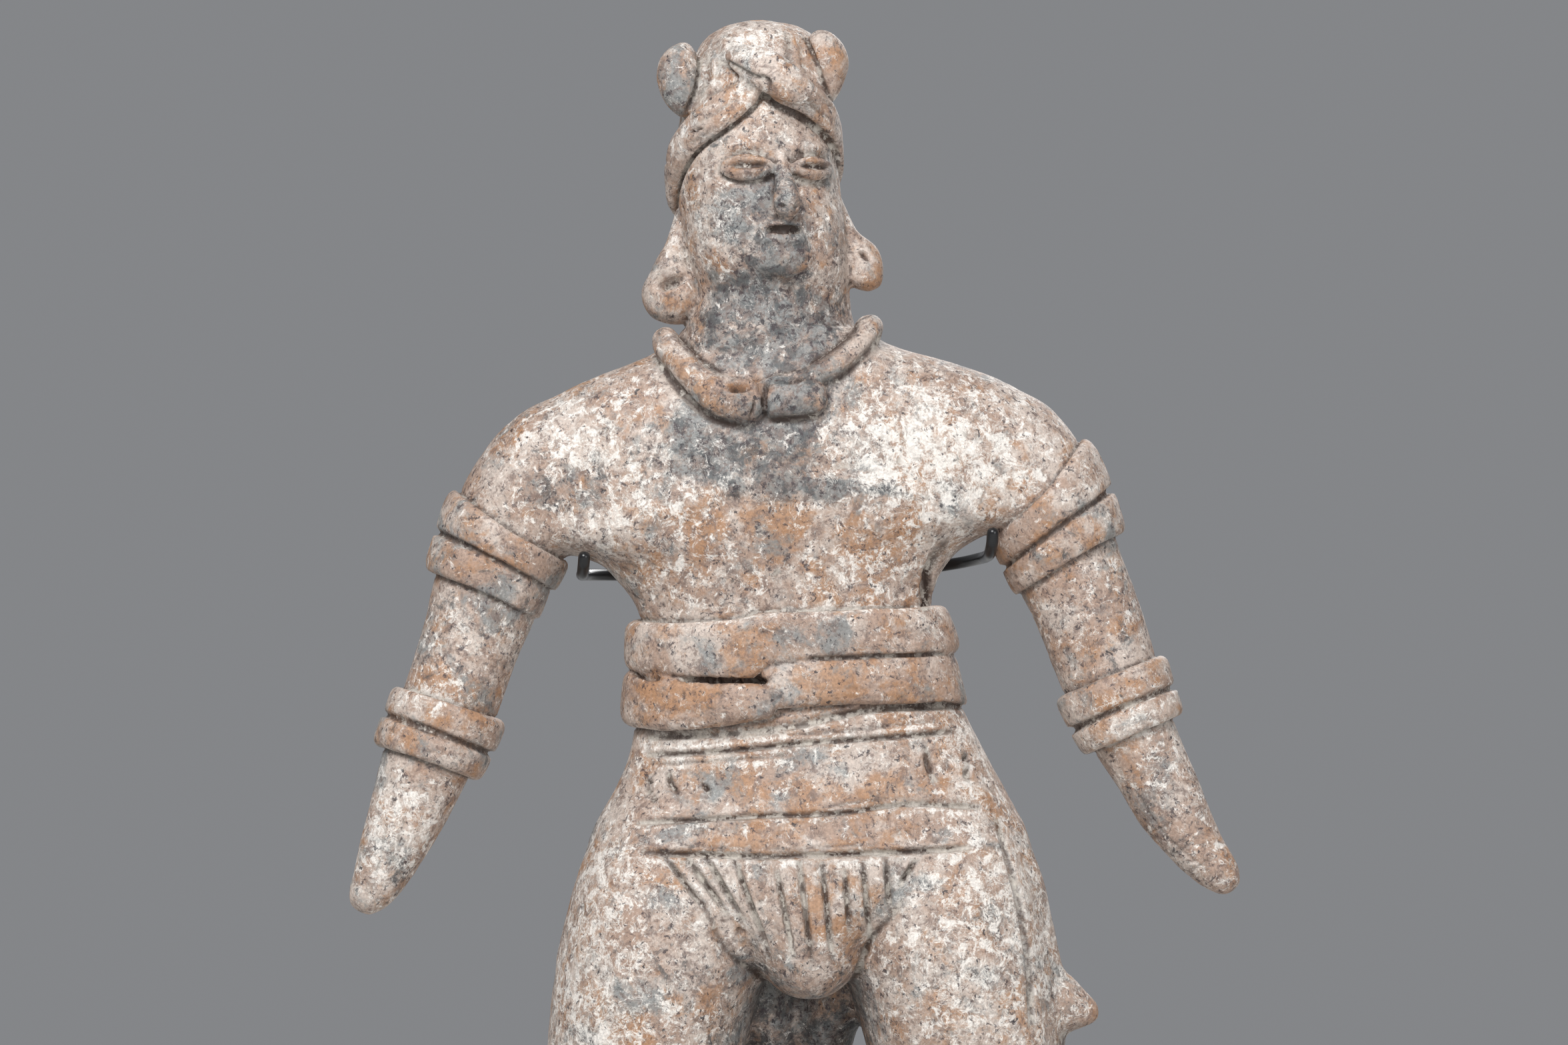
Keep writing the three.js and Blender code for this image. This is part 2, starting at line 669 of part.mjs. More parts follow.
function headdress() {
  const halfway = SIDES.head / 2 + 2;
  return joined([
    strip(skull, HEADBAND.left, { steps: halfway }),
    strip(skull, HEADBAND.right, { steps: halfway }),
    formSolid(tubeForm(LEFT_LOBE), SIDES.lobe),
    formSolid(tubeForm(RIGHT_LOBE), SIDES.lobe),
    formSolid(tubeForm(FORELOCK), SIDES.lobe),
    formSolid(tubeForm(LEFT_EAR), SIDES.lobe),
    formSolid(tubeForm(RIGHT_EAR), SIDES.lobe),
  ]);
}

// The point of the face at a distance from its middle line, raised off the skin.
function onFace(offset, level, proud) {
  const angle = skull.angleAt(level, HEAD.axis[0] + offset);
  return skull.point(level, angle).addScaledVector(outward(skull, level, angle), proud);
}

// A lens of clay across the face about a middle, bowed up or down.
function faceLens(middle, level, { wide, high, deep, proud, bow = 0 }, sides) {
  const stations = LENS_STATIONS.map((t) => {
    const at = onFace(middle + t * wide, level - bow * (1 - t * t), proud);
    return [at.x, at.y, at.z, high * lensSwell(t), deep * lensSwell(t)];
  });
  return formSolid(tubeForm(stations), sides, Infinity);
}

function face() {
  const ridge = NOSE.map(([level, proud, half]) => {
    const at = onFace(0, level, proud);
    return [at.x, at.y, at.z, half, half * NOSE_FLATNESS];
  });
  return joined([
    ...[-EYE_OFFSET, EYE_OFFSET].map((x) => faceLens(x, LEVEL.eye, FACE.eyePad, SIDES.coil)),
    formSolid(tubeForm(ridge), SIDES.small, Infinity),
    faceLens(0, LEVEL.lip, FACE.lowerLip, SIDES.small),
    faceLens(0, LEVEL.mouth + 2, FACE.upperLip, SIDES.small),
  ]);
}

function slits() {
  const eyeSlit = { ...FACE.eyeSlit, wide: EYE_OFFSET / 2 };
  return [
    ...[-EYE_OFFSET, EYE_OFFSET].map((x) => faceLens(x, LEVEL.eye + 0.4, eyeSlit, SIDES.small)),
    faceLens(0, LEVEL.mouth, FACE.mouthSlit, SIDES.small),
    ...PRESSED.map(slit),
  ];
}

function lines() {
  return [
    ...SKIRT_LINES.map((points) => incised(front, points, GROOVE, 4)),
    ...FRINGE.map((points) => incised(front, points, GROOVE, 1)),
    incised([rightLeg], HIP_LINE, { depth: 1.1, width: 2 }, 3),
  ];
}

function figureSolid() {
  const whole = joined([
    body(),
    dress(),
    formSolid(skull, SIDES.head),
    headdress(),
    face(),
  ]);
  return [...slits(), ...lines()].reduce((left, cut) => left.subtract(cut), whole);
}

// The stand: a steel plate, a post behind the figure and a fork of wire under the arms.
function basePlate() {
  const { width, depth, thickness, corner, bevel, centreY } = BASE;
  const [x, y] = [width / 2 - bevel, depth / 2 - bevel];
  const outline = new THREE.Shape();
  outline.moveTo(-x + corner, -y);
  outline.absarc(x - corner, -y + corner, corner, -Math.PI / 2, 0);
  outline.absarc(x - corner, y - corner, corner, 0, Math.PI / 2);
  outline.absarc(-x + corner, y - corner, corner, Math.PI / 2, Math.PI);
  outline.absarc(-x + corner, -y + corner, corner, Math.PI, 1.5 * Math.PI);
  const geometry = new THREE.ExtrudeGeometry(outline, {
    depth: thickness - 2 * bevel,
    bevelThickness: bevel,
    bevelSize: bevel,
    bevelSegments: 1,
    curveSegments: 2,
  });
  geometry.translate(0, centreY, bevel);
  return solidOf(geometry);
}

function post() {
  const { y, bend, top, topY, radius, sides } = POST;
  const stations = [
    [0, y, BASE.thickness],
    [0, y, bend - 2 * radius],
    [0, y - 0.3 * radius, bend],
    [0, THREE.MathUtils.lerp(y, topY, 0.5), THREE.MathUtils.lerp(bend, top, 0.5)],
    [0, topY, top],
  ].map((station) => [...station, radius, radius]);
  const crosswise = new THREE.Vector3(1, 0, 0);
  return formSolid(tubeForm(stations, undefined, crosswise), sides, Infinity);
}

function fork() {
  const route = new THREE.CatmullRomCurve3(FORK_ROUTE.map((point) => new THREE.Vector3(...point)));
  const section = new THREE.Shape().absarc(0, 0, PRONG.radius, 0, 2 * Math.PI);
  const geometry = new THREE.ExtrudeGeometry(section, {
    extrudePath: route,
    steps: PRONG.steps,
    curveSegments: PRONG.sides / 2,
  });
  return solidOf(geometry);
}

// A solid as a named mesh.
function meshOf(name, solid, material) {
  const { numProp, numVert, vertProperties, triVerts } = solid.getMesh();
  const positions = new Float32Array(numVert * 3);
  for (let i = 0; i < numVert; i += 1)
    positions.set(vertProperties.subarray(i * numProp, i * numProp + 3), i * 3);
  const geometry = new THREE.BufferGeometry()
    .setAttribute("position", new THREE.BufferAttribute(positions, 3))
    .setIndex(new THREE.BufferAttribute(new Uint32Array(triVerts), 1));
  geometry.computeVertexNormals();
  const mesh = new THREE.Mesh(geometry, material);
  mesh.name = name;
  return mesh;
}

const firedClay = new THREE.MeshStandardMaterial({ color: "#b9a396", roughness: 0.75, metalness: 0 });
const blackSteel = new THREE.MeshStandardMaterial({ color: "#1c1c1e", roughness: 0.5, metalness: 0.6 });

const figure = new THREE.Group();
figure.add(
  meshOf("figure", figureSolid(), firedClay),
  meshOf("stand_base_plate", basePlate(), blackSteel),
  meshOf("stand_post", post(), blackSteel),
  meshOf("stand_fork", fork(), blackSteel),
);

export default figure;
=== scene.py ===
"""A standing female figure of fired clay in the Colima manner, on its black steel cradle.

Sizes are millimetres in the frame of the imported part: +Z up, the figure faces -Y, and left and right are
the viewer's. The clay is lofted form by form, fused, carved and stained, and scaled to metres at the end.
"""

from __future__ import annotations

import logging
import math
from dataclasses import dataclass, field
from enum import Enum
from typing import Protocol, Sequence

import bmesh
import bpy
import numpy as np
from mathutils import Matrix, Vector

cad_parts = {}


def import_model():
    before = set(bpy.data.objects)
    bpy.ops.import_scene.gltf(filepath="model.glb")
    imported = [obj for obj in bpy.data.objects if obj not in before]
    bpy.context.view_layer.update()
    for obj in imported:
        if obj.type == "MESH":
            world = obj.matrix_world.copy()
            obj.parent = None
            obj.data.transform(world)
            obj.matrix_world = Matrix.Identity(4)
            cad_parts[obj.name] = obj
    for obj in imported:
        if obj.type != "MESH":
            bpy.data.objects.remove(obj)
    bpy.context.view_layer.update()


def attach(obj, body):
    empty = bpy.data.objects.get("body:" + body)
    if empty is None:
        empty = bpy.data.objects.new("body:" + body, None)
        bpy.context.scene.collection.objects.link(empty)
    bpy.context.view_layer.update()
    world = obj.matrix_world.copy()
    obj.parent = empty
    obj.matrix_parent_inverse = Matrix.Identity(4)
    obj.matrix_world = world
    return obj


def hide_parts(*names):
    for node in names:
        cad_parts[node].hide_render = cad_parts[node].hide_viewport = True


log = logging.getLogger("figure")

MM = 0.001

SOLE = 6.0
MIRROR_X = 1.75
SEAT_MIRROR_X = -0.5
FRONT = -4.0

Rows = Sequence[Sequence[float]]
Points = Sequence[tuple[float, float]]
Socket = bpy.types.NodeSocket


class Tint(Enum):
    """A mark on the clay, kept as one number for every vertex. Some are painted light: the recess mark is
    painted shade in grooves, slits and undersides, the crevice mark paints shade and pale sediment in
    creases, and the smoke and deposit marks also paint shade and light in a few places.
    """

    DEPOSIT_AND_LIGHT = "deposit"
    IRON = "iron"
    SMOKE = "smoke_and_shade"
    RECESS_SHADE = "recess_shade"
    CREVICE = "crevice"
    BURNISH = "burnish"


class Track:
    """Values that run smoothly through rows of numbers; the first number of a row is its key."""

    def __init__(self, rows: Rows) -> None:
        """Works out a slope for each row.

        Args:
            rows: the rows, in the order of their keys.
        """
        table = np.array(rows, dtype=float)
        self.keys = table[:, 0]
        self.values = table[:, 1:]
        last = len(table) - 1
        before = np.maximum(np.arange(last + 1) - 1, 0)
        after = np.minimum(np.arange(last + 1) + 1, last)
        span = self.keys[after] - self.keys[before]
        self.slopes = (self.values[after] - self.values[before]) / span[:, None]

    def at(self, key: np.ndarray) -> np.ndarray:
        """Reads the rows between their keys.

        Args:
            key: the keys to read at.

        Returns:
            One row of values for each key.
        """
        key = np.atleast_1d(np.asarray(key, dtype=float))
        i = np.clip(np.searchsorted(self.keys, key, side="right") - 1, 0, len(self.keys) - 2)
        span = (self.keys[i + 1] - self.keys[i])[:, None]
        t = np.clip((key[:, None] - self.keys[i][:, None]) / span, 0, 1)
        rise = t * t * (3 - 2 * t)
        leave = t * (1 - t) ** 2 * span
        arrive = t * t * (t - 1) * span
        step = self.values[i + 1] - self.values[i]
        return self.values[i] + step * rise + self.slopes[i] * leave + self.slopes[i + 1] * arrive


def unit(vectors: np.ndarray) -> np.ndarray:
    """Scales each vector to length one."""
    return vectors / np.maximum(np.linalg.norm(vectors, axis=-1, keepdims=True), 1e-9)


def squared(value: np.ndarray, power: np.ndarray) -> np.ndarray:
    """A signed power, which squares up a circle."""
    return np.sign(value) * np.abs(value) ** (2 / power)


def smooth_step(low: float, high: float, value: np.ndarray) -> np.ndarray:
    """Runs from 0 at low to 1 at high, level at both ends."""
    t = np.clip((value - low) / (high - low), 0, 1)
    return t * t * (3 - 2 * t)


def placed(points: np.ndarray, place: Matrix) -> np.ndarray:
    """Moves points by a matrix."""
    matrix = np.array(place)
    return points @ matrix[:3, :3].T + matrix[:3, 3]


class Form(Protocol):
    """A skin whose points are asked for by a key along it and an angle round it."""

    low: float
    high: float

    def point(self, key: np.ndarray, angle: np.ndarray) -> np.ndarray:
        """The points of the skin at keys and angles."""
        ...


@dataclass
class LevelForm:
    """A form stacked from level ovals: height, left, right, front, back, squareness."""

    rows: Rows
    place: Matrix = field(default_factory=lambda: Matrix.Identity(4))

    def __post_init__(self) -> None:
        """Reads the ends of the form off its rows."""
        self.track = Track(self.rows)
        self.low = self.rows[0][0]
        self.high = self.rows[-1][0]

    def point(self, key: np.ndarray, angle: np.ndarray) -> np.ndarray:
        """The points of the skin.

        Args:
            key: heights.
            angle: degrees round the form; -90 is its front and 0 the viewer's right.

        Returns:
            One point for each height and angle.
        """
        key, angle = np.broadcast_arrays(np.atleast_1d(key), np.atleast_1d(angle))
        left, right, front, back, power = self.track.at(key).T
        turn = np.radians(angle)
        x = (left + right) / 2 + (right - left) / 2 * squared(np.cos(turn), power)
        y = (front + back) / 2 + (back - front) / 2 * squared(np.sin(turn), power)
        return placed(np.stack([x, y, key], axis=1), self.place)

    def angle_at(self, height: float, x: float) -> float:
        """The angle at which the front shows a given x.

        Args:
            height: the height on the form.
            x: the place across it.

        Returns:
            The angle in degrees.
        """
        left, right, _, _, power = self.track.at(height)[0]
        across = np.clip((2 * x - left - right) / (right - left), -1, 1)
        return -math.degrees(math.acos(squared(across, 4 / power)))


@dataclass
class TubeForm:
    """A form swept along stations of x, y, z, half width and half depth."""

    stations: Rows
    depth_axis: tuple[float, float, float] = (0, 1, 0)

    def __post_init__(self) -> None:
        """Measures the distance along the middle."""
        table = np.array(self.stations, dtype=float)
        run = np.concatenate([[0], np.cumsum(np.linalg.norm(np.diff(table[:, :3], axis=0), axis=1))])
        self.track = Track(np.column_stack([run, table]))
        self.low, self.high = 0.0, float(run[-1])

    def middle(self, key: np.ndarray) -> np.ndarray:
        """Points on the middle line at distances along it."""
        return self.track.at(np.clip(key, self.low, self.high))[:, :3]

    def point(self, key: np.ndarray, angle: np.ndarray) -> np.ndarray:
        """The points of the skin.

        Args:
            key: distances along the middle.
            angle: degrees round it; 0 is the viewer's right on a tube that runs down.

        Returns:
            One point for each distance and angle.
        """
        key, angle = np.broadcast_arrays(np.atleast_1d(key), np.atleast_1d(angle))
        row = self.track.at(key)
        tangent = unit(self.middle(key + 0.5) - self.middle(key - 0.5))
        side = unit(np.cross(tangent, self.depth_axis))
        depth = np.cross(side, tangent)
        turn = np.radians(angle)[:, None]
        return row[:, :3] + side * row[:, 3:4] * np.cos(turn) + depth * row[:, 4:5] * np.sin(turn)


def outward(form: Form, key: np.ndarray, angle: np.ndarray) -> np.ndarray:
    """The outward directions of a form's skin.

    Args:
        form: the form.
        key: keys along it.
        angle: degrees round it.

    Returns:
        One unit vector for each key and angle.
    """
    step = 0.4
    above, below = np.minimum(key + step, form.high), np.maximum(key - step, form.low)
    along = form.point(above, angle) - form.point(below, angle)
    around = form.point(key, angle + step) - form.point(key, angle - step)
    normal = unit(np.cross(around, along))
    across = form.point(key, angle) - form.point(key, angle + 180)
    return np.where((normal * across).sum(1, keepdims=True) < 0, -normal, normal)


class Noise:
    """Smooth seeded noise from -1 to 1 on points in millimetres."""

    def __init__(self, size: float, seed: int) -> None:
        """Fills the lattice.

        Args:
            size: the width of a bump.
            seed: any whole number.
        """
        self.size = size
        self.table = np.random.default_rng(seed).uniform(-1, 1, 4096)

    def at(self, points: np.ndarray) -> np.ndarray:
        """Reads the noise.

        Args:
            points: places in millimetres.

        Returns:
            One number for each place.
        """
        cell = points / self.size
        base = np.floor(cell).astype(np.int64)
        part = cell - base
        part = part * part * (3 - 2 * part)
        total = np.zeros(len(points))
        for corner in np.ndindex(2, 2, 2):
            x, y, z = (base + corner).T
            value = self.table[(x * 73856093 ^ y * 19349663 ^ z * 83492791) & 4095]
            share = np.prod(np.where(corner, part, 1 - part), axis=1)
            total += value * share
        return total


class Clay:
    """A heap of closed clay forms that are fused into one skin."""

    def __init__(self) -> None:
        """Starts with nothing."""
        self.mesh = bmesh.new()

    def add_rings(self, rings: np.ndarray, loop: bool = False) -> None:
        """Adds a closed form from a sheet bent through rings of points.

        Args:
            rings: points, ring by ring.
            loop: whether the last ring joins the first; otherwise each end closes on its middle.
        """
        wrapped = np.concatenate([rings, rings[:, :1]], axis=1)
        if loop:
            wrapped = np.concatenate([wrapped, wrapped[:1]])
        else:
            first, last = (np.broadcast_to(rings[end].mean(0), wrapped[:1].shape) for end in (0, -1))
            wrapped = np.concatenate([first, wrapped, last])
        rows, columns = wrapped.shape[:2]
        sheet = bmesh.ops.create_grid(self.mesh, x_segments=columns - 1, y_segments=rows - 1, size=1)
        for vert, place in zip(sheet["verts"], wrapped.reshape(-1, 3)):
            vert.co = place
        bmesh.ops.remove_doubles(self.mesh, verts=sheet["verts"], dist=1e-4)

    def add_form(self, form: Form, sides: int = 48, step: float = 2.0) -> None:
        """Adds a whole form.

        Args:
            form: the form.
            sides: points in a ring.
            step: the distance between rings.
        """
        count = max(int((form.high - form.low) / step), 6)
        keys = np.linspace(form.low, form.high, count + 1)
        angles = np.arange(sides) * 360 / sides
        key, angle = (grid.ravel() for grid in np.meshgrid(keys, angles, indexing="ij"))
        self.add_rings(form.point(key, angle).reshape(len(keys), sides, 3))

    def add_strip(self, form: Form, strip: "Strip") -> None:
        """Lays a strip of clay round a form.

        Args:
            form: what the strip is pressed on.
            strip: its edges, its thickness and its ends.
        """
        self.add_rings(strip.rings(form), loop=strip.loop)

    def fused(self, voxel: float, smoothing: int) -> bpy.types.Mesh:
        """Fuses everything so far into one even skin.

        Args:
            voxel: the width of a facet.
            smoothing: how many times the skin is smoothed.

        Returns:
            The fused mesh, in millimetres.
        """
        bmesh.ops.recalc_face_normals(self.mesh, faces=self.mesh.faces)
        mesh = bpy.data.meshes.new("clay_heap")
        self.mesh.to_mesh(mesh)
        self.mesh.clear()
        heap = bpy.data.objects.new("clay_heap", mesh)
        bpy.context.collection.objects.link(heap)
        remesh = heap.modifiers.new("fuse", "REMESH")
        remesh.mode = "VOXEL"
        remesh.voxel_size = voxel
        soften = heap.modifiers.new("soften", "SMOOTH")
        soften.factor = 0.5
        soften.iterations = smoothing
        result = evaluated_mesh(heap)
        bpy.data.objects.remove(heap)
        bpy.data.meshes.remove(mesh)
        return result

    def add_mesh(self, mesh: bpy.types.Mesh) -> None:
        """Puts a fused mesh back on the heap and frees it."""
        self.mesh.from_mesh(mesh)
        bpy.data.meshes.remove(mesh)


def evaluated_mesh(piece: bpy.types.Object) -> bpy.types.Mesh:
    """A new mesh with an object's modifiers applied.

    Args:
        piece: the object.

    Returns:
        The mesh.
    """
    depsgraph = bpy.context.evaluated_depsgraph_get()
    depsgraph.update()
    return bpy.data.meshes.new_from_object(piece.evaluated_get(depsgraph))


@dataclass
class Strip:
    """A strip of clay laid round a form: angle, bottom edge, top edge, how proud it stands."""

    edges: Rows
    loop: bool = False
    step: float = 2.5
    sink: float = 2.0
    round_ends: float = 6.0
    fullness: float = 3.6
    section: int = 18

    def edge_lines(self, form: Form, step: float = 1.0) -> list[np.ndarray]:
        """The lines where the strip's two edges meet the form.

        Args:
            form: what the strip is pressed on.
            step: the angle between points.

        Returns:
            The points along the bottom edge and along the top edge.
        """
        track = Track(self.edges)
        angles = np.arange(track.keys[0], track.keys[-1] + step, step)
        bottom, top, _ = track.at(angles).T
        return [form.point(edge, angles) for edge in (bottom, top)]

    def rings(self, form: Form) -> np.ndarray:
        """The strip's skin.

        Args:
            form: what the strip is pressed on.

        Returns:
            Its rings, one for each step of angle.
        """
        track = Track(self.edges)
        first, last = track.keys[0], track.keys[-1]
        count = int(round((last - first) / self.step))
        angles = np.linspace(first, last, count + 1)
        if self.loop:
            angles = angles[:-1]
        bottom, top, proud = track.at(angles).T
        if not self.loop:
            nearest = np.minimum(angles - first, last - angles)
            share = np.clip(nearest / self.round_ends, 0, 1)
            full = np.sqrt(np.clip(1 - (1 - share) ** 2.4, 0.04, 1))
            middle, half = (bottom + top) / 2, (top - bottom) / 2
            bottom, top, proud = middle - half * full, middle + half * full, proud * full
        turn = np.linspace(0, 1, self.section)
        across = np.concatenate([(1 - np.cos(math.pi * turn)) / 2, [1, 0.5, 0]])
        rise = (1 - np.abs(2 * across[: self.section] - 1) ** self.fullness) ** (1 / self.fullness)
        lift = np.concatenate([rise, [-1, -1, -1]])
        key = bottom[:, None] + (top - bottom)[:, None] * across
        out = np.where(lift >= 0, lift * proud[:, None], -self.sink)
        place = (key.ravel(), np.repeat(angles, key.shape[1]))
        skin = form.point(*place) + outward(form, *place) * out.reshape(-1, 1)
        return skin.reshape(len(angles), -1, 3)


@dataclass(frozen=True)
class Mark:
    """A line in the clay where shade is painted: its points, flat on the front or in space, width and
    darkness.
    """

    points: Sequence[Sequence[float]]
    width: float
    amount: float


class Skin:
    """The places, normals and stains of the clay's vertices, for carving and staining."""

    def __init__(self, mesh: bpy.types.Mesh) -> None:
        """Reads the mesh.

        Args:
            mesh: a mesh in millimetres.
        """
        self.mesh = mesh
        count = len(mesh.vertices)
        self.co = np.empty(count * 3)
        mesh.vertices.foreach_get("co", self.co)
        self.co = self.co.reshape(-1, 3)
        self.normal = np.empty(count * 3)
        mesh.vertex_normals.foreach_get("vector", self.normal)
        self.normal = self.normal.reshape(-1, 3)
        self.rise = np.zeros(count)
        self.tints = {tint: np.zeros(count) for tint in Tint}
        self.marks: list[Mark] = []

    def neighbours(self) -> tuple[np.ndarray, np.ndarray]:
        """The two ends of every edge.

        Returns:
            The first ends and the second ends.
        """
        ends = np.empty(len(self.mesh.edges) * 2, dtype=np.int32)
        self.mesh.edges.foreach_get("vertices", ends)
        return ends[::2], ends[1::2]

    def hollow(self, rounds: int) -> np.ndarray:
        """How far the smoothed skin lies outside the real one, in millimetres.

        Args:
            rounds: how many times it is smoothed.

        Returns:
            One depth for each vertex, positive in a crease and negative on a ridge.
        """
        one, two = self.neighbours()
        count = len(self.co)
        degree = np.bincount(one, minlength=count) + np.bincount(two, minlength=count)
        smooth = self.co.copy()
        for _ in range(rounds):
            total = np.stack(
                [
                    np.bincount(one, smooth[two, axis], count) + np.bincount(two, smooth[one, axis], count)
                    for axis in range(3)
                ],
                axis=1,
            )
            smooth = 0.5 * smooth + 0.5 * total / np.maximum(degree, 1)[:, None]
        return ((smooth - self.co) * self.normal).sum(1)

    def sharpen(self, rounds: int, strength: float) -> None:
        """Deepens the creases between forms, which the fusing has filled.

        Args:
            rounds: how wide a crease counts.
            strength: the share of its depth that is added.
        """
        self.rise -= strength * np.clip(self.hollow(rounds), 0, 1)

    def facing(self, look: Sequence[float] = (0, 1, 0), least: float = 0.05) -> np.ndarray:
        """How far the skin faces a viewer who looks along a direction, from 0 to 1."""
        return smooth_step(least, least + 0.25, -(self.normal @ unit(np.array(look, dtype=float))))

    def from_line(self, points: Points, margin: float) -> tuple[np.ndarray, np.ndarray, np.ndarray]:
        """How far the vertices lie from a line of x and height, as seen from the front.

        Args:
            points: the line's points.
            margin: how far from the line vertices still count.

        Returns:
            The vertices that count, their distance from the line, and how far along it they lie,
            from 0 to 1.
        """
        track = Track([[i, *point] for i, point in enumerate(points)])
        line = track.at(np.linspace(0, len(points) - 1, 12 * (len(points) - 1) + 1))
        flat = self.co[:, [0, 2]]
        low, high = line.min(0) - margin, line.max(0) + margin
        front = (self.normal[:, 1] < 0) & (self.co[:, 1] < FRONT)
        near = np.where(((flat > low) & (flat < high)).all(1) & front)[0]
        distance = np.full(len(near), np.inf)
        along = np.zeros(len(near))
        for i, (start, end) in enumerate(zip(line[:-1], line[1:])):
            step = end - start
            share = np.clip(((flat[near] - start) @ step) / max(step @ step, 1e-9), 0, 1)
            gap = np.linalg.norm(flat[near] - start - share[:, None] * step, axis=1)
            closer = gap < distance
            distance[closer] = gap[closer]
            along[closer] = (i + share[closer]) / (len(line) - 1)
        return near, distance, along

    def groove(
        self, points: Points, width: float, depth: float, lip: float = 0.12, blunt: float = 0.12
    ) -> None:
        """Drags a line through the clay.

        Args:
            points: x and height along the line.
            width: the width of the groove.
            depth: how deep it goes.
            lip: how high the clay is pushed up beside it.
            blunt: the share of the line over which each end fades.
        """
        near, distance, along = self.from_line(points, 3 * width)
        fade = smooth_step(-0.02, blunt, along) * smooth_step(-0.02, blunt, 1 - along)
        half = width / 2
        press = -depth * np.clip(1 - (distance / half) ** 2, 0, 1) ** 0.7
        pushed = lip * np.exp(-(((distance - 1.35 * half) / (0.5 * half)) ** 2))
        self.rise[near] += (press + pushed) * fade * self.facing()[near]
        # Each groove gets painted shade in its bottom.
        if depth > 0:
            self.marks.append(Mark(points, width, min(0.7 * depth, 0.85)))

    def from_path(self, path: np.ndarray, margin: float) -> tuple[np.ndarray, np.ndarray]:
        """How far the vertices lie from a line in space.

        Args:
            path: points close together along the line.
            margin: how far from the line vertices still count.

        Returns:
            The vertices that count and their distance from the line.
        """
        boxed = ((self.co > path.min(0) - margin) & (self.co < path.max(0) + margin)).all(1)
        near = np.where(boxed)[0]
        distance = np.full(len(near), np.inf)
        for place in path:
            distance = np.minimum(distance, ((self.co[near] - place) ** 2).sum(1))
        distance = np.sqrt(distance)
        close = distance < margin
        return near[close], distance[close]

    def joint(self, path: np.ndarray, width: float, depth: float) -> None:
        """Sharpens the joint where one piece of clay is pressed on another.

        Args:
            path: points along the joint.
            width: its width.
            depth: how deep it goes.
        """
        near, distance = self.from_path(path, 1.5 * width)
        self.rise[near] -= depth * np.clip(1 - (distance / width) ** 2, 0, 1) ** 1.5
        # The joint gets painted shade in its bottom.
        self.marks.append(Mark(path, width, min(depth, 0.85)))

    def recess_shade(self, marks: Sequence[Mark]) -> None:
        """Paints shade in the bottoms of grooves and joints.

        Args:
            marks: where the shade is painted.
        """
        for mark in marks:
            if len(mark.points[0]) == 3:
                near, distance = self.from_path(np.array(mark.points), 2 * mark.width)
                shown = 1.0
            else:
                near, distance, _ = self.from_line(mark.points, 2 * mark.width)
                shown = self.facing()[near]
            fall = np.exp(-((distance / (0.38 * mark.width)) ** 2))
            self.tints[Tint.RECESS_SHADE][near] += mark.amount * fall * shown

    def mound(self, centre: Sequence[float], radii: Sequence[float], height: float) -> None:
        """Raises or presses the skin round a point.

        Args:
            centre: x, y and z of the middle.
            radii: reach along x, y and z.
            height: how far the middle is raised; negative presses it in.
        """
        reach = ((self.co - centre) / radii) ** 2
        self.rise += height * np.exp(-reach.sum(1))

    def stain(self, tint: Tint, centre: Sequence[float], radii: Sequence[float], amount: float) -> None:
        """Adds a soft-edged stain.

        Args:
            tint: which stain.
            centre: x, y and z of the middle.
            radii: reach along x, y and z.
            amount: its strength in the middle.
        """
        reach = (((self.co - centre) / radii) ** 2).sum(1)
        self.tints[tint] += amount * np.exp(-(reach**1.5))

    def spot(self, tint: Tint, spot: "Spot") -> None:
        """Adds a soft-edged stain on the front.

        Args:
            tint: which stain.
            spot: its place, its reach and its strength.
        """
        across = (self.co[:, 0] - spot.x) / spot.wide
        upward = (self.co[:, 2] - spot.height) / spot.high
        reach = across**2 + upward**2
        self.tints[tint] += spot.amount * np.exp(-(reach**1.5)) * self.facing()

    def stain_line(self, tint: Tint, points: Points, width: float, amount: float) -> None:
        """Adds a stain along a line of x and height on the front."""
        near, distance, _ = self.from_line(points, 2.5 * width)
        self.tints[tint][near] += amount * np.exp(-((distance / width) ** 2)) * self.facing()[near]

    def press(self) -> None:
        """Moves the vertices by the carving so far."""
        self.co += self.normal * self.rise[:, None]
        self.mesh.vertices.foreach_set("co", self.co.ravel())
        self.mesh.update()
        self.rise[:] = 0

    def store(self) -> None:
        """Writes the stains to the mesh as attributes."""
        for tint, values in self.tints.items():
            layer = self.mesh.attributes.new(tint.value, "FLOAT", "POINT")
            layer.data.foreach_set("value", np.clip(values, 0, 1).astype(np.float32))

    def slit(self, opening: "Opening") -> None:
        """Presses an opening with a raised rim.

        Args:
            opening: the opening.
        """
        near, across = self.inside(opening)
        self.rise[near] -= opening.depth * smooth_step(1.1, 0.55, across)
        self.rise[near] += opening.rim * np.exp(-(((across - 1.35) / 0.3) ** 2))

    def inside(self, opening: "Opening") -> tuple[np.ndarray, np.ndarray]:
        """How far vertices lie from the middle of an opening, where 1 is its edge.

        Args:
            opening: the opening.

        Returns:
            The vertices near it and their place across it.
        """
        offset = self.co - opening.centre
        near = np.where(np.linalg.norm(offset, axis=1) < 2 * opening.long + 2)[0]
        look = unit(np.array(opening.look, dtype=float))
        along = np.array(opening.along, dtype=float)
        along = unit(along - (along @ look) * look)
        over = np.cross(look, along)
        u = offset[near] @ along / opening.long
        v = offset[near] @ over / opening.high
        facing = (self.normal[near] @ look) < -0.05
        across = np.sqrt(np.abs(u) ** 2.4 + np.abs(v) ** 2 + 1e-9)
        return near[facing], across[facing]


@dataclass(frozen=True)
class Opening:
    """A slit pressed into the clay with a tool."""

    centre: tuple[float, float, float]
    along: tuple[float, float, float]
    long: float
    high: float
    depth: float
    rim: float = 0.25
    look: tuple[float, float, float] = (0, 1, 0)


@dataclass(frozen=True)
class Spot:
    """A stain on the front: x and height of its middle, its reach along both, and its strength."""

    x: float
    height: float
    wide: float
    high: float
    amount: float


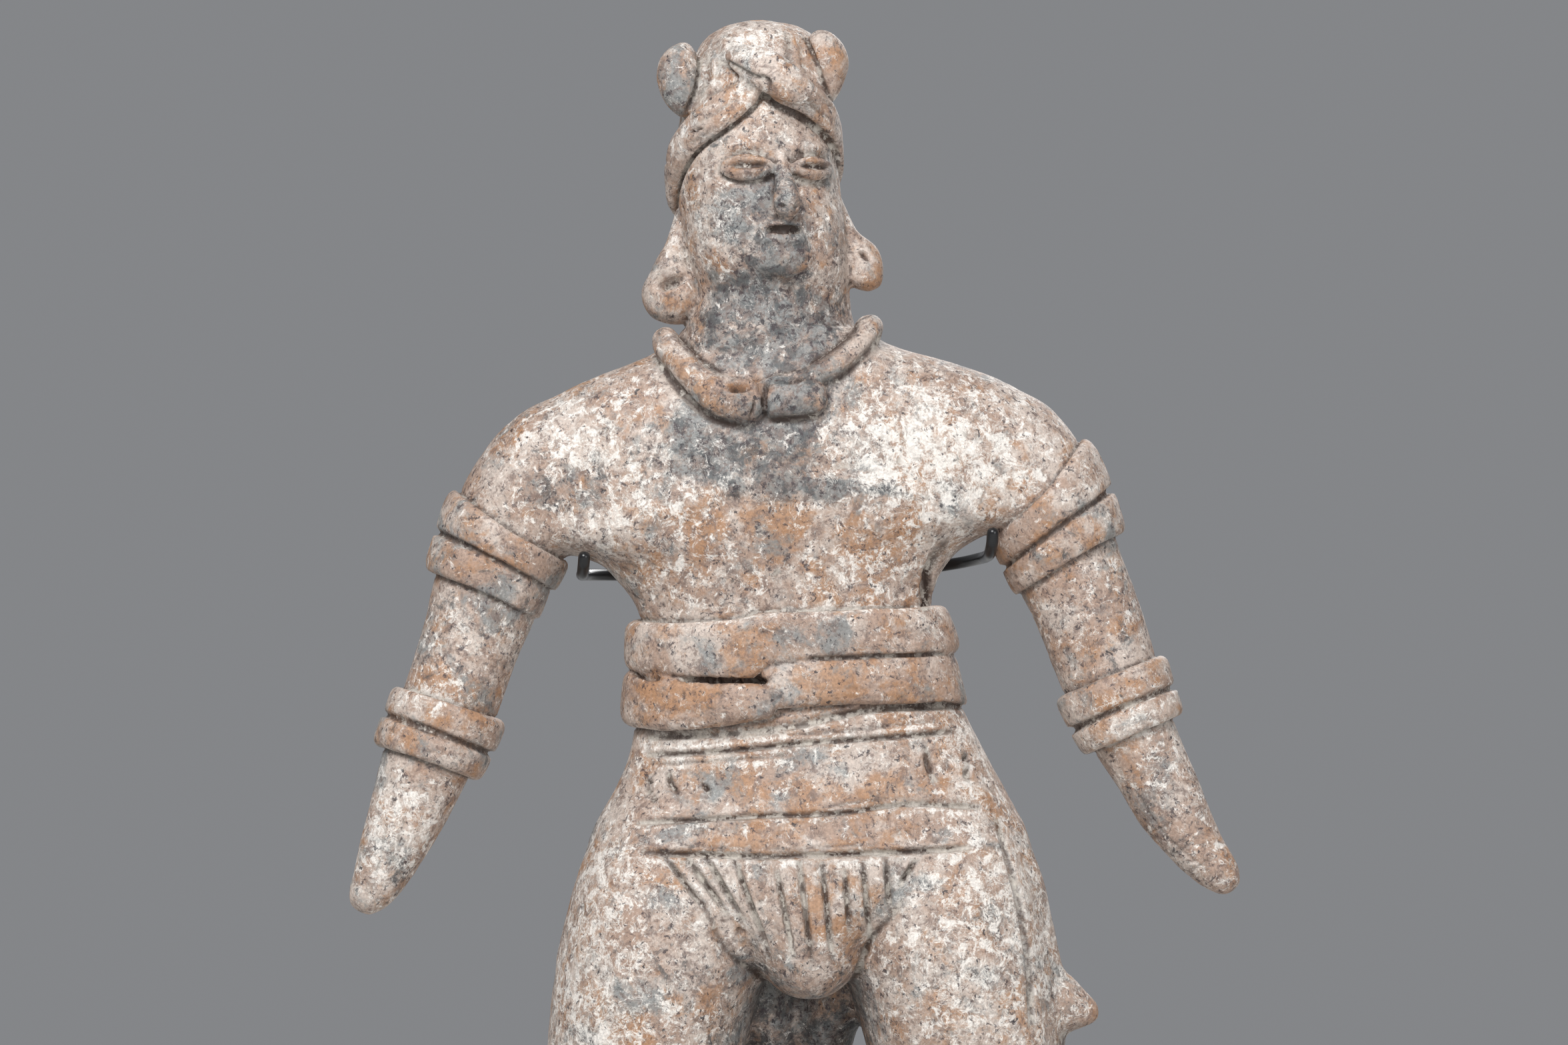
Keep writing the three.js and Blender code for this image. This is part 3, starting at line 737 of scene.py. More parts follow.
CHEST_DEPOSITS = (
    Spot(38, 284, 25, 19, 0.9),
    Spot(16, 294, 14, 10, 0.4),
    Spot(-48, 288, 26, 14, 0.45),
    Spot(20, 258, 18, 7, 0.3),
    Spot(44, 205, 6, 20, 0.5),
    Spot(-56, 160, 16, 34, 0.5),
    Spot(52, 160, 22, 30, 0.6),
    Spot(-40, 132, 20, 12, 0.4),
    Spot(-85, 245, 12, 14, 0.3),
    # Pale deposit on the left hand, which also paints the light falling on it.
    Spot(-108, 184, 10, 16, 0.6),
    Spot(-96, 222, 8, 6, 0.4),
    Spot(-26, 345, 8, 14, 0.3),
    Spot(84, 285, 16, 14, 0.3),
)
IRON_STAINS = (
    Spot(-8, 270, 12, 7, 1),
    Spot(-7, 277.6, 5, 3, 0.7),
    Spot(22, 266, 15, 7, 0.7),
    Spot(-44, 262, 6, 9, 0.5),
    Spot(-40, 296, 16, 6, 0.4),
    Spot(-24, 238, 20, 6, 0.6),
    Spot(-28, 222, 14, 6, 0.8),
    Spot(18, 226, 22, 6, 0.5),
    Spot(-12, 202, 14, 5, 0.6),
    Spot(24, 200, 12, 6, 0.8),
    Spot(0, 187, 34, 5, 0.6),
    Spot(4, 170, 16, 12, 0.4),
    Spot(50, 274, 4, 5, 1.4),
    Spot(-90, 222, 8, 14, 0.5),
    Spot(84, 230, 9, 12, 0.4),
    Spot(-46, 140, 12, 14, 0.3),
    Spot(0, 262, 46, 9, 0.35),
    Spot(-90, 268, 12, 8, 0.4),
    Spot(90, 262, 12, 8, 0.4),
    Spot(0, 200, 44, 12, 0.3),
)
FIRE_CLOUDS = (
    # The first cloud, under the necklace, also paints the necklace's shadow on the chest.
    Spot(-12, 289, 20, 12, 1.2),
    Spot(-32, 289, 12, 11, 0.6),
    Spot(3, 277, 14, 3, 0.6),
    Spot(-4, 263, 6, 4, 0.5),
    Spot(-8, 321, 19, 13, 1.3),
    Spot(4, 300, 14, 8, 0.5),
    Spot(-62, 279, 13, 9, 0.5),
    Spot(0, 140, 24, 22, 0.5),
    Spot(-30, 184, 8, 8, 0.3),
    Spot(-34, 152, 9, 10, 0.4),
    Spot(50, 150, 16, 22, 0.35),
    Spot(96, 188, 12, 16, 0.5),
    Spot(70, 262, 8, 10, 0.4),
    Spot(-88, 238, 11, 16, 0.5),
    Spot(82, 240, 11, 14, 0.3),
    Spot(-107, 174, 3, 10, 1),
)


def mirrored(rows: Rows, middle: float = MIRROR_X) -> list[list[float]]:
    """The rows of a level form turned over to the other side."""
    return [[key, 2 * middle - right, 2 * middle - left, *rest] for key, left, right, *rest in rows]


class SubAssembly(Protocol):
    """A part of the clay figure."""

    def model(self, clay: Clay) -> None:
        """Adds the part's forms to the clay."""
        ...

    def carve(self, skin: Skin) -> None:
        """Carves the part's lines into the fused skin."""
        ...

    def dress(self, skin: Skin) -> None:
        """Stains the part's own places."""
        ...


@dataclass
class Body:
    """The naked body below the neck: trunk, seat, legs and arms, which run together softly."""

    trunk_rows: Rows = (
        (142.8, -2.5, 7.5, -25, 0, 2),
        (145, -6.5, 11, -28, 2, 2),
        (150, -11.5, 15.5, -30.8, 6, 2),
        (158, -19.5, 21.5, -32.5, 15, 2),
        (168, -36, 39, -32.6, 29, 2.2),
        (177, -56, 61.5, -31.3, 33, 2.4),
        (184, -56.5, 62, -29.8, 32.5, 2.4),
        (194.5, -51.5, 57.2, -27, 29, 2.4),
        (205, -46.7, 51.4, -24.2, 24, 2.4),
        (216, -44.1, 45.8, -22, 19.5, 2.4),
        (222, -43.4, 43, -21.2, 18.5, 2.4),
        (237, -42.4, 38.6, -20.4, 17.5, 2.4),
        (244, -43, 36, -20.8, 17.5, 2.4),
        (249, -45, 35.2, -21.4, 18, 2.4),
        (254, -49.5, 37, -22.2, 18.5, 2.4),
        (259, -54.8, 40.2, -23.2, 19, 2.4),
        (262.5, -68, 43.5, -24, 19.3, 2.4),
        (266.5, -75, 51, -24.6, 19.5, 2.5),
        (271.5, -77, 66, -25, 20, 2.5),
        (289, -76, 71, -25, 20, 2.4),
        (297, -72.5, 68.5, -24, 19.3, 2.3),
        (303, -66.5, 62, -22.6, 18.5, 2.2),
        (308.5, -56, 51.5, -21, 17.5, 2.1),
        (313.5, -43, 37, -19.5, 17, 2),
        (317.5, -34.5, 24, -18, 16.5, 2),
        (322, -31.5, 17.5, -17, 16, 2),
    )
    leg_rows: Rows = (
        (SOLE, -50.5, -21.5, -16, 15.5, 2.1),
        (18, -50, -22, -15.5, 15.5, 2.1),
        (40, -51.5, -23.5, -16.5, 17.5, 2.1),
        (70, -60.5, -23, -22, 24, 2.1),
        (102, -68, -20, -27.5, 31, 2.1),
        (116, -69, -17.5, -29.5, 33.5, 2.1),
        (137, -67.6, -12.3, -31.8, 35.5, 2.1),
        (145, -66.6, -9.6, -32.2, 35.5, 2.1),
        (156, -64.8, -6.6, -32.2, 34.8, 2.2),
        (170, -61.2, -5.2, -30.6, 32, 2.3),
        (182, -56.8, -7, -27.4, 28, 2.4),
        (194, -50, -12, -22, 22, 2.4),
    )
    foot_rows: Rows = (
        (SOLE, -52.5, -19.5, -36, 15, 2.2),
        (9.5, -53, -19, -37, 15.5, 2.2),
        (14, -52, -20, -33.5, 15.5, 2.2),
        (19, -50.5, -21.5, -26, 15, 2.2),
        (23.5, -48, -24.5, -18, 12, 2.2),
    )
    seat_rows: Rows = (
        (115.5, -10.5, -2.5, 22, 36, 2),
        (123.5, -15, 0.6, 9, 44, 2.1),
        (130, -16.6, 1.6, 4, 46.5, 2.1),
        (139, -24, 2.2, 2, 47.5, 2.2),
        (150, -32, 2.4, 0, 46.5, 2.2),
        (176, -36, 2.2, 0, 38, 2.2),
        (206, -28, 1.6, 0, 22.5, 2.2),
    )
    left_arm_stations: Rows = (
        (-52, -2, 292, 15, 15),
        (-64, -2, 285.2, 17.6, 17),
        (-72.3, -2, 277, 17.4, 16.6),
        (-78, -2, 268, 16.2, 15.6),
        (-81.6, -2.4, 259, 15.3, 14.8),
        (-85, -3, 248.3, 14.7, 14.2),
        (-88.5, -3.6, 237.5, 14, 13.6),
        (-92.4, -4.5, 226.2, 13.4, 13),
        (-98, -5.8, 211, 12.4, 12),
        (-104.1, -7.2, 194.3, 11, 10.6),
        (-108.7, -8.2, 183.5, 9.4, 9),
        (-113.2, -9.2, 173, 7.2, 7),
        (-116, -9.7, 168.4, 5.8, 5.5),
        (-117.6, -10, 165.6, 4, 3.8),
        (-118.2, -10.1, 164.4, 1.6, 1.6),
    )
    right_arm_stations: Rows = (
        (47, -2, 293.4, 14.4, 14.5),
        (56.2, -2, 287.8, 16.6, 16.4),
        (63, -2, 279, 16.6, 16.2),
        (68, -2, 268, 15.8, 15.2),
        (72.2, -2.4, 257.5, 14.9, 14.4),
        (76.1, -3, 248.3, 14.3, 13.9),
        (79.9, -3.6, 237.5, 13.8, 13.4),
        (84, -4.5, 225.6, 13.1, 12.7),
        (89.2, -5.6, 213, 12, 11.8),
        (94.2, -6.6, 203.6, 10.8, 10.6),
        (99.2, -7.6, 194, 9.9, 9.8),
        (105.3, -8.7, 183.5, 8.2, 8.2),
        (111.3, -9.5, 176.6, 6.6, 6.4),
        (114.5, -9.9, 173.5, 5.3, 5),
        (116.4, -10.1, 171.8, 3.9, 3.6),
        (117.4, -10.2, 170.9, 1.6, 1.6),
    )
    hand_lines: Sequence[Points] = (
        ((83, 193), (92, 181), (103, 172.6)),
        ((88, 200), (97, 186), (110, 175)),
        ((93, 186), (99, 189)),
        ((99, 180), (105, 184)),
        ((104, 176), (111, 180)),
        ((-110, 190), (-113, 176), (-116, 168)),
        ((-105, 192), (-108, 181)),
    )
    side_step: Points = ((38.4, 263.6), (34.8, 258), (33.4, 252.4), (33, 246.6))
    side_crease: Points = ((33.3, 256.4), (34, 251), (33.6, 246.4))
    chest_ridge: Sequence[Points] = (
        ((-60, 268.2), (-36.4, 272.6), (-18.5, 280.7), (-12, 282)),
        ((-20, 279), (3, 279.4), (24, 277.6), (40, 273)),
    )
    foot_middle: float = -36
    foot_width: float = 27
    foot_front: float = -37.5
    toe_count: int = 5
    toe_length: float = 10
    toe_width: float = 1.3
    toe_depth: float = 1.5

    def __post_init__(self) -> None:
        """Builds the forms that other parts are pressed on."""
        self.trunk = LevelForm(self.trunk_rows)
        self.left_arm = TubeForm(self.left_arm_stations)
        self.right_arm = TubeForm(self.right_arm_stations)

    def model(self, clay: Clay) -> None:
        """Adds trunk, seat, legs, feet and arms.

        Args:
            clay: the heap that the forms are added to.
        """
        clay.add_form(self.trunk, sides=96)
        for rows in (self.seat_rows, mirrored(self.seat_rows, SEAT_MIRROR_X)):
            clay.add_form(LevelForm(rows))
        for rows in (self.leg_rows, self.foot_rows):
            clay.add_form(LevelForm(rows), sides=64, step=1.5)
            clay.add_form(LevelForm(mirrored(rows)), sides=64, step=1.5)
        clay.add_form(self.left_arm, step=1.2)
        clay.add_form(self.right_arm, step=1.2)

    def carve(self, skin: Skin) -> None:
        """Parts the toes and marks the soft ridges of the chest.

        Args:
            skin: the skin of the whole figure.
        """
        for middle in (self.foot_middle, 2 * MIRROR_X - self.foot_middle):
            for i in range(1, self.toe_count):
                offset = i - self.toe_count / 2
                x = middle + offset * self.foot_width / self.toe_count
                self.part_toes(skin, x, self.toe_length - 0.6 * abs(offset))
        skin.groove(self.side_step, width=3.2, depth=1.3, lip=0.2, blunt=0.3)
        for line in self.chest_ridge:
            skin.groove(line, width=9, depth=-0.8, lip=0, blunt=0.3)
        skin.groove(self.side_crease, width=2.6, depth=1.6)
        for line in self.hand_lines:
            skin.groove(line, width=0.8, depth=0.3, lip=0.1)

    def part_toes(self, skin: Skin, x: float, length: float) -> None:
        """Presses the line between two toes.

        Args:
            skin: the skin of the figure.
            x: where the line lies.
            length: how far back from the tip it runs.
        """
        reach = np.abs(skin.co[:, 0] - x) / self.toe_width
        end = self.foot_front + length
        back = smooth_step(end, end - 4, skin.co[:, 1])
        low = smooth_step(26, 22, skin.co[:, 2])
        skin.rise -= self.toe_depth * np.exp(-(reach**2)) * back * low

    def dress(self, skin: Skin) -> None:
        """Stains the body: white deposit, iron and fire clouds, with painted shade between the thighs and
        under the necklace and a painted highlight along the chest ridge.

        Args:
            skin: the skin of the whole figure.
        """
        for spot in CHEST_DEPOSITS:
            skin.spot(Tint.DEPOSIT_AND_LIGHT, spot)
        for spot in IRON_STAINS:
            skin.spot(Tint.IRON, spot)
        for spot in FIRE_CLOUDS:
            skin.spot(Tint.SMOKE, spot)
        # Painted shade between the thighs and under the seat, laid over a fire cloud.
        skin.stain(Tint.SMOKE, (0, 8, 132), (22, 22, 34), 1.6)
        seam, ridge = self.chest_ridge
        # Painted highlight: a pale line along the crest of the chest ridge, where it catches the light.
        skin.stain_line(Tint.DEPOSIT_AND_LIGHT, seam, 1.6, 0.6)
        skin.stain_line(Tint.SMOKE, ridge, 1.6, 0.7)


@dataclass
class HipOrnament:
    """The strip down the viewer's right hip and the cone on it, with the side line in front."""

    strip_stations: Rows = (
        (56.5, -4, 188, 3.4, 6),
        (60, -4, 175, 4.8, 8.6),
        (63.4, -4, 160, 4.9, 9),
        (65.2, -5, 147, 5.4, 9),
        (66, -5, 138, 5.4, 8),
    )
    knob_stations: Rows = (
        (60, -4, 141.2, 9.6, 9),
        (69.5, -5, 139.4, 8.9, 8.4),
        (74.6, -5.4, 138, 6.2, 5.8),
        (78.6, -5.8, 137, 3.6, 3.4),
        (80.8, -6, 136.4, 1.8, 1.8),
    )
    side_line: Points = ((52.4, 189.6), (56.4, 175), (59.4, 162), (61, 150), (61.4, 136))

    def model(self, clay: Clay) -> None:
        """Adds the strip and the cone."""
        clay.add_form(TubeForm(self.strip_stations), sides=24)
        clay.add_form(TubeForm(self.knob_stations), sides=24, step=1)

    def carve(self, skin: Skin) -> None:
        """Drags the line between strip and thigh."""
        skin.groove(self.side_line, width=2.2, depth=1.5)

    def dress(self, skin: Skin) -> None:
        """Paints brown shade under the cone and a pale line beside the strip."""
        # Painted shade under the cone.
        skin.stain(Tint.RECESS_SHADE, (70, -6, 129), (9, 8, 5), 0.8)
        skin.stain_line(Tint.DEPOSIT_AND_LIGHT, self.side_line, 1.4, 0.4)


@dataclass
class Belts:
    """The two rolls of clay wound round the waist."""

    upper: Strip = field(
        default_factory=lambda: Strip(
            (
                (-180, 229.4, 242.8, 4.6),
                (-140, 228.4, 242.6, 4.2),
                (-112, 227.2, 243.1, 4),
                (-103, 227.4, 244, 4.1),
                (-97, 230.9, 245.4, 4),
                (-80, 232.3, 245.8, 4),
                (-50, 233, 246.1, 4),
                (0, 233.4, 246.4, 4.4),
                (80, 231.6, 245, 3.8),
                (180, 229.4, 242.8, 4.6),
            ),
            loop=True,
        )
    )
    lower_left: Strip = field(
        default_factory=lambda: Strip(
            (
                (-275, 217, 230, 3.2),
                (-235, 215.6, 229.6, 3.6),
                (-190, 214.6, 229.4, 4.7),
                (-160, 213.8, 228.8, 4.7),
                (-125, 213.8, 227.2, 4.6),
                (-100, 216.8, 226.2, 4.8),
                (-95, 218, 225.8, 4.4),
            ),
            round_ends=2,
        )
    )
    lower_right: Strip = field(
        default_factory=lambda: Strip(
            (
                (-101, 219, 229.8, 3),
                (-92, 220, 231.6, 3.8),
                (-80, 220.8, 232.6, 4),
                (-50, 220.8, 234, 3.6),
                (-10, 219.6, 234.2, 2.3),
                (40, 219, 233, 3),
                (92, 217.4, 230.4, 3.2),
            ),
            round_ends=4,
        )
    )
    trunk: Form | None = None
    slits: Sequence[tuple[Points, float]] = (
        (((-44.6, 228.6), (-40, 227.6), (-37.5, 227.8)), 2.2),
        (((-32, 227.6), (-20, 227.2), (-8.6, 227.2)), 2.6),
        (((2, 233), (16, 233.4), (38, 234.2)), 0.9),
    )
    wiped: Sequence[tuple[tuple[float, float], tuple[float, float]]] = (
        ((-44, 215.5), (-6, 220)),
        ((0, 221), (40, 226)),
        ((-44, 231), (38, 236)),
        ((-44, 239), (38, 244)),
    )
    wipe_count: int = 46
    ledge: Points = ((-46, 242.6), (-20, 243.4), (0, 246), (38, 246.6))

    def model(self, clay: Clay) -> None:
        """Winds the belts round the trunk."""
        for strip in (self.upper, self.lower_right, self.lower_left):
            clay.add_strip(self.trunk, strip)

    def carve(self, skin: Skin) -> None:
        """Sharpens the joints and wipes fine lines along the rolls.

        Args:
            skin: the skin of the whole figure.
        """
        for strip in (self.upper, self.lower_left, self.lower_right):
            for path in strip.edge_lines(self.trunk):
                skin.joint(path, width=1.1, depth=0.9)
        for line, depth in self.slits:
            skin.groove(line, width=1.5, depth=depth, lip=0.05, blunt=0.06)
        wipes = np.random.default_rng(4)
        for _ in range(self.wipe_count):
            low, high = self.wiped[wipes.integers(len(self.wiped))]
            height = wipes.uniform(low[1], high[1])
            start = wipes.uniform(low[0], high[0] - 10)
            line = [(start, height), (start + 7, height + 0.2), (start + wipes.uniform(9, 22), height)]
            skin.groove(line, width=0.8, depth=wipes.uniform(0.05, 0.2), lip=0.03)

    def dress(self, skin: Skin) -> None:
        """Lays pale sediment on the top edges.

        Args:
            skin: the skin of the whole figure.
        """
        skin.stain_line(Tint.DEPOSIT_AND_LIGHT, self.ledge, 1, 0.8)
        skin.stain(Tint.BURNISH, (0, 0, 229), (72, 60, 16), 0.8)
        skin.stain(Tint.IRON, (0, 0, 228), (68, 60, 15), 0.12)


@dataclass
class Skirt:
    """The wrapped skirt: its long lines, its dashes and the fringe of the apron."""

    lines: Sequence[Points] = (
        ((-40.5, 211.6), (-18, 213), (0, 215.3), (19, 219.3), (43, 220.4)),
        ((-40.5, 207), (-18, 208.6), (0.5, 210.5), (20, 211.8), (41, 213.3)),
        ((-43, 189.3), (-11, 191.4), (10, 192.2), (28, 194.5), (47.5, 193.4)),
        ((-41.5, 181.8), (-11, 181), (4, 181.4), (24, 182), (44.5, 182.9)),
    )
    line_widths: Sequence[float] = (2.4, 1.8, 1.7, 2.1)
    line_depths: Sequence[float] = (1.2, 1.3, 1.3, 1.7)
    fringe: Sequence[Points] = (
        ((-35.5, 180.4), (-25.7, 167.7)),
        ((-29.5, 179.8), (-19.5, 166)),
        ((-24.6, 180.4), (-15.3, 164)),
        ((-17.5, 180.4), (-8.1, 154.2)),
        ((-6.3, 177.3), (-1.8, 154.2)),
        ((-0.4, 179.6), (3.1, 152.8)),
        ((5.6, 179.6), (8.6, 153.4)),
        ((11.7, 177.3), (13.1, 161.6)),
        ((16.4, 179.6), (18.4, 160.1)),
        ((22.5, 180.4), (23.6, 166.8)),
        ((30.2, 179.6), (26.5, 173.6)),
    )
    faint_lines: Sequence[Points] = (
        ((-41, 209.8), (-24, 211), (-4, 213.4)),
        ((-38, 213.4), (-20, 214.4), (2, 217.2), (17, 220)),
        ((-6, 212.6), (10, 213.6), (36, 216.4)),
        ((-40, 204.6), (-22, 205.8), (-2, 207.6)),
        ((4, 193.4), (22, 195.8), (44, 195.2)),
        ((-30, 183.6), (-8, 182.8), (20, 184)),
    )
    dashes: Sequence[Points] = (
        ((-35.1, 202.6), (-34.6, 199.6), (-32.6, 197.4)),
        ((33.5, 208.6), (34, 205), (35.4, 200.6)),
        ((44.1, 207.4), (44.6, 205.4)),
        ((44.4, 203.6), (44.6, 200.6)),
        ((-40.3, 200.4), (-40.2, 199.6)),
        ((-40.3, 197.8), (-40.1, 197)),
        ((-39, 195.8), (-38.7, 195)),
        ((-26, 199.6), (-24.4, 197.8)),
    )
    apron: Sequence[Points] = (
        ((-25.7, 169.1), (-19.8, 156.3), (-10.8, 148.2), (-7, 143.7)),
        ((12.4, 144.4), (15.3, 149.7), (18.4, 158), (23.6, 164.6), (28, 169.8)),
    )

    def model(self, clay: Clay) -> None:
        """The skirt is the trunk's own clay."""

    def carve(self, skin: Skin) -> None:
        """Drags the lines through the clay.

        Args:
            skin: the skin of the whole figure.
        """
        for line, width, depth in zip(self.lines, self.line_widths, self.line_depths):
            skin.groove(line, width, depth, lip=0.25, blunt=0.06)
        for line in self.faint_lines:
            skin.groove(line, width=1.2, depth=0.4, lip=0.08)
        for line in self.fringe:
            skin.groove(line, width=1.9, depth=1.9, lip=0.25, blunt=0.3)
        for line in self.dashes:
            skin.groove(line, width=2, depth=1.8, blunt=0.35)
        for line in self.apron:
            skin.groove(line, width=2.2, depth=1, lip=0, blunt=0.4)

    def dress(self, skin: Skin) -> None:
        """Leaves sediment in the fringe and iron in the deepest line.

        Args:
            skin: the skin of the whole figure.
        """
        for line in self.fringe:
            skin.stain_line(Tint.DEPOSIT_AND_LIGHT, line, 2, 0.5)
        for line in (*self.lines, *self.faint_lines):
            skin.stain_line(Tint.DEPOSIT_AND_LIGHT, [(x, height - 1.3) for x, height in line], 0.8, 0.9)
        for x, height, wide in ((0, 197, 44), (0, 186, 40), (0, 165, 22)):
            skin.spot(Tint.BURNISH, Spot(x, height, wide, 9, 0.5))
        skin.stain_line(Tint.IRON, self.lines[3], 1.3, 1)
        skin.stain_line(Tint.DEPOSIT_AND_LIGHT, self.dashes[3], 1.2, 1)


@dataclass(frozen=True)
class Band:
    """An armband: its edges down the arm, their climb to the viewer's right, and how proud it stands."""

    start: float
    end: float
    climb: tuple[float, float]
    outer: float
    inner: float

    def strip(self, outside: int) -> Strip:
        """The band as a closed strip.

        Args:
            outside: 1 where the outside of the arm is to the viewer's right, -1 where to the left.

        Returns:
            The strip.
        """
        edges = []
        for angle in range(-180, 181, 30):
            rightward = math.cos(math.radians(angle))
            share = (1 + outside * rightward) / 2
            proud = self.inner + (self.outer - self.inner) * share
            start, end = self.start - self.climb[0] * rightward, self.end - self.climb[1] * rightward
            edges.append((angle, start, end, proud))
        return Strip(edges, loop=True, step=6)


@dataclass
class Armbands:
    """Two bands round each upper arm and two round each wrist."""

    body: Body
    left: Sequence[Band] = (
        Band(36.6, 46.8, (-2.2, -2.4), 3.2, 2.6),
        Band(45.6, 56, (-2.2, -1.8), 3.5, 1),
        Band(86.4, 95.6, (0.4, 0), 3, 3.4),
        Band(94.6, 103.4, (0, 0), 3.5, 3.2),
    )
    right: Sequence[Band] = (
        Band(24.6, 35.4, (6, 4.6), 3.2, 1.4),
        Band(34.4, 44.9, (4.4, 2.2), 3.5, 1.6),
        Band(77, 86.8, (0.6, 0.2), 3, 3.2),
        Band(85.8, 94.4, (0.2, -0.6), 3.2, 3.2),
    )

    def rows(self) -> tuple[tuple[Form, Sequence[Band], int], ...]:
        """Each arm with its bands and the side that its outside faces."""
        return (self.body.left_arm, self.left, -1), (self.body.right_arm, self.right, 1)

    def model(self, clay: Clay) -> None:
        """Winds the bands round the arms.

        Args:
            clay: the heap that the forms are added to.
        """
        for arm, bands, outside in self.rows():
            for band in bands:
                clay.add_strip(arm, band.strip(outside))

    def carve(self, skin: Skin) -> None:
        """Sharpens the joints of the bands.

        Args:
            skin: the skin of the whole figure.
        """
        for arm, bands, outside in self.rows():
            for band in bands:
                for path in band.strip(outside).edge_lines(arm, step=3):
                    skin.joint(path, width=1.1, depth=0.55)
            for upper, lower in (bands[:2], bands[2:]):
                skin.joint(self.seam(arm, upper, lower, outside), width=1.3, depth=1.5)

    def seam(self, arm: Form, upper: Band, lower: Band, outside: int) -> np.ndarray:
        """The line where two bands meet, on their outer faces.

        Args:
            arm: the arm they are wound round.
            upper: the band nearer to the shoulder.
            lower: the band nearer to the hand.
            outside: 1 where the outside of the arm is to the viewer's right, -1 where to the left.

        Returns:
            The points along it.
        """
        angles = np.arange(-180.0, 181, 3)
        first, second = (Track(band.strip(outside).edges).at(angles) for band in (upper, lower))
        keys = (first[:, 1] + second[:, 0]) / 2
        proud = 0.8 * np.minimum(first[:, 2], second[:, 2])
        return arm.point(keys, angles) + outward(arm, keys, angles) * proud[:, None]

    def dress(self, skin: Skin) -> None:
        """Leaves the bands burnished, with pale deposit on the wrists.

        Args:
            skin: the skin of the whole figure.
        """
        for arm, bands, outside in self.rows():
            for band in bands:
                for path in band.strip(outside).edge_lines(arm, step=30):
                    for place in path:
                        skin.stain(Tint.BURNISH, place, (6, 6, 6), 0.4)
        skin.stain(Tint.DEPOSIT_AND_LIGHT, (-100, -18, 223), (12, 12, 5), 0.8)
        skin.stain(Tint.DEPOSIT_AND_LIGHT, (92, -18, 222), (14, 12, 8), 0.6)
        skin.stain(Tint.DEPOSIT_AND_LIGHT, (86, -18, 214), (16, 12, 7), 0.7)


@dataclass
class Necklace:
    """Two coils that meet in a slit pendant, with a bead beside it."""

    left_coil: Rows = (
        (-36.6, -8.4, 320.6, 1.4, 1.4),
        (-36.4, -9, 319.8, 3, 3),
        (-36, -10.4, 318, 3.9, 3.9),
        (-34.6, -13.2, 315, 4.3, 4.3),
        (-29, -18.8, 309.2, 5, 4.8),
        (-22.6, -22.6, 303.4, 5.7, 5),
        (-16, -24, 301.4, 6.5, 5.2),
        (-11.2, -23.8, 300.8, 5, 4.4),
        (-9.9, -23.8, 300.6, 3.4, 3.2),
    )
    bead: Rows = (
        (-8.9, -24, 301.4, 3.6, 3.2),
        (-7.2, -24.2, 301.5, 5.1, 4.3),
        (0, -24.4, 302.2, 5.3, 4.5),
        (5, -23.8, 303, 4.6, 4),
        (6.8, -23.4, 303.3, 2.6, 2.4),
    )
    right_coil: Rows = (
        (19.6, -6.5, 324.2, 1.8, 1.8),
        (19, -8.5, 322.2, 3.9, 3.7),
        (14.8, -15.6, 315.4, 4.3, 4.3),
        (8.2, -20.2, 310.6, 4, 4),
        (2, -21.6, 308.2, 2.5, 2.6),
        (-5.6, -22.2, 307.4, 1.5, 1.8),
        (-11, -22.4, 305.8, 1.3, 1.6),
    )
    openings: Sequence[Opening] = (
        Opening((-16, -28, 305), (1, 0, 0.1), 3.4, 1.4, 3, rim=0.5),
        Opening((-1.8, -25, 307), (1, 0, 0.2), 2.8, 0.8, 1.6),
    )
    undercuts: Sequence[Points] = (
        ((-38.6, 313.6), (-33.4, 305.8), (-28, 299.8), (-22.6, 296.2), (-16, 294.8)),
        ((-32.4, 319), (-27, 313.2), (-21.4, 309.4)),
        ((-8, 296.4), (-2, 296.8), (4, 297.6)),
        ((9.4, 306.6), (14, 310.4), (18.6, 315.4), (22.4, 320)),
        ((3, 311.6), (8.4, 315), (13.6, 319.4), (15.4, 323.4)),
    )
    cracks: Sequence[tuple[Points, float, float]] = (
        (((-9.2, 306.4), (-9.6, 302), (-9.4, 297.6)), 1.2, 2),
        (((-12, 301.8), (-12.4, 299), (-13.8, 296.2)), 0.8, 1.2),
        (((-5.6, 308.6), (-1, 309.4), (4, 310.6)), 1.1, 0.9),
    )
    rust: Points = ((-35, 312), (-30, 306), (-24, 300))

    def model(self, clay: Clay) -> None:
        """Adds coils and bead."""
        for stations in (self.left_coil, self.bead, self.right_coil):
            clay.add_form(TubeForm(stations), sides=24, step=0.8)

    def carve(self, skin: Skin) -> None:
        """Opens the pendant and parts it from the bead.

        Args:
            skin: the skin of the whole figure.
        """
        for opening in self.openings:
            skin.slit(opening)
        for line in self.undercuts:
            skin.groove(line, width=2, depth=0.8, lip=0, blunt=0.2)
        for line, width, depth in self.cracks:
            skin.groove(line, width, depth, lip=0, blunt=0.3)

    def dress(self, skin: Skin) -> None:
        """Leaves the coils burnished, paints shade under them and stains the left one's lower edge with
        iron.

        Args:
            skin: the skin of the whole figure.
        """
        for row in (*self.left_coil, *self.bead, *self.right_coil):
            skin.stain(Tint.BURNISH, row[:3], (5, 5, 5), 0.4)
        for line in self.undercuts:
            # Painted shade under the coils.
            skin.stain_line(Tint.RECESS_SHADE, line, 1, 0.4)
        skin.stain_line(Tint.IRON, self.rust, 2, 0.7)
        skin.spot(Tint.IRON, Spot(-16, 305, 4, 2, 0.9))
        skin.spot(Tint.SMOKE, Spot(4, 303, 5, 5, 0.8))
        skin.spot(Tint.SMOKE, Spot(-4, 308, 8, 3, 0.4))


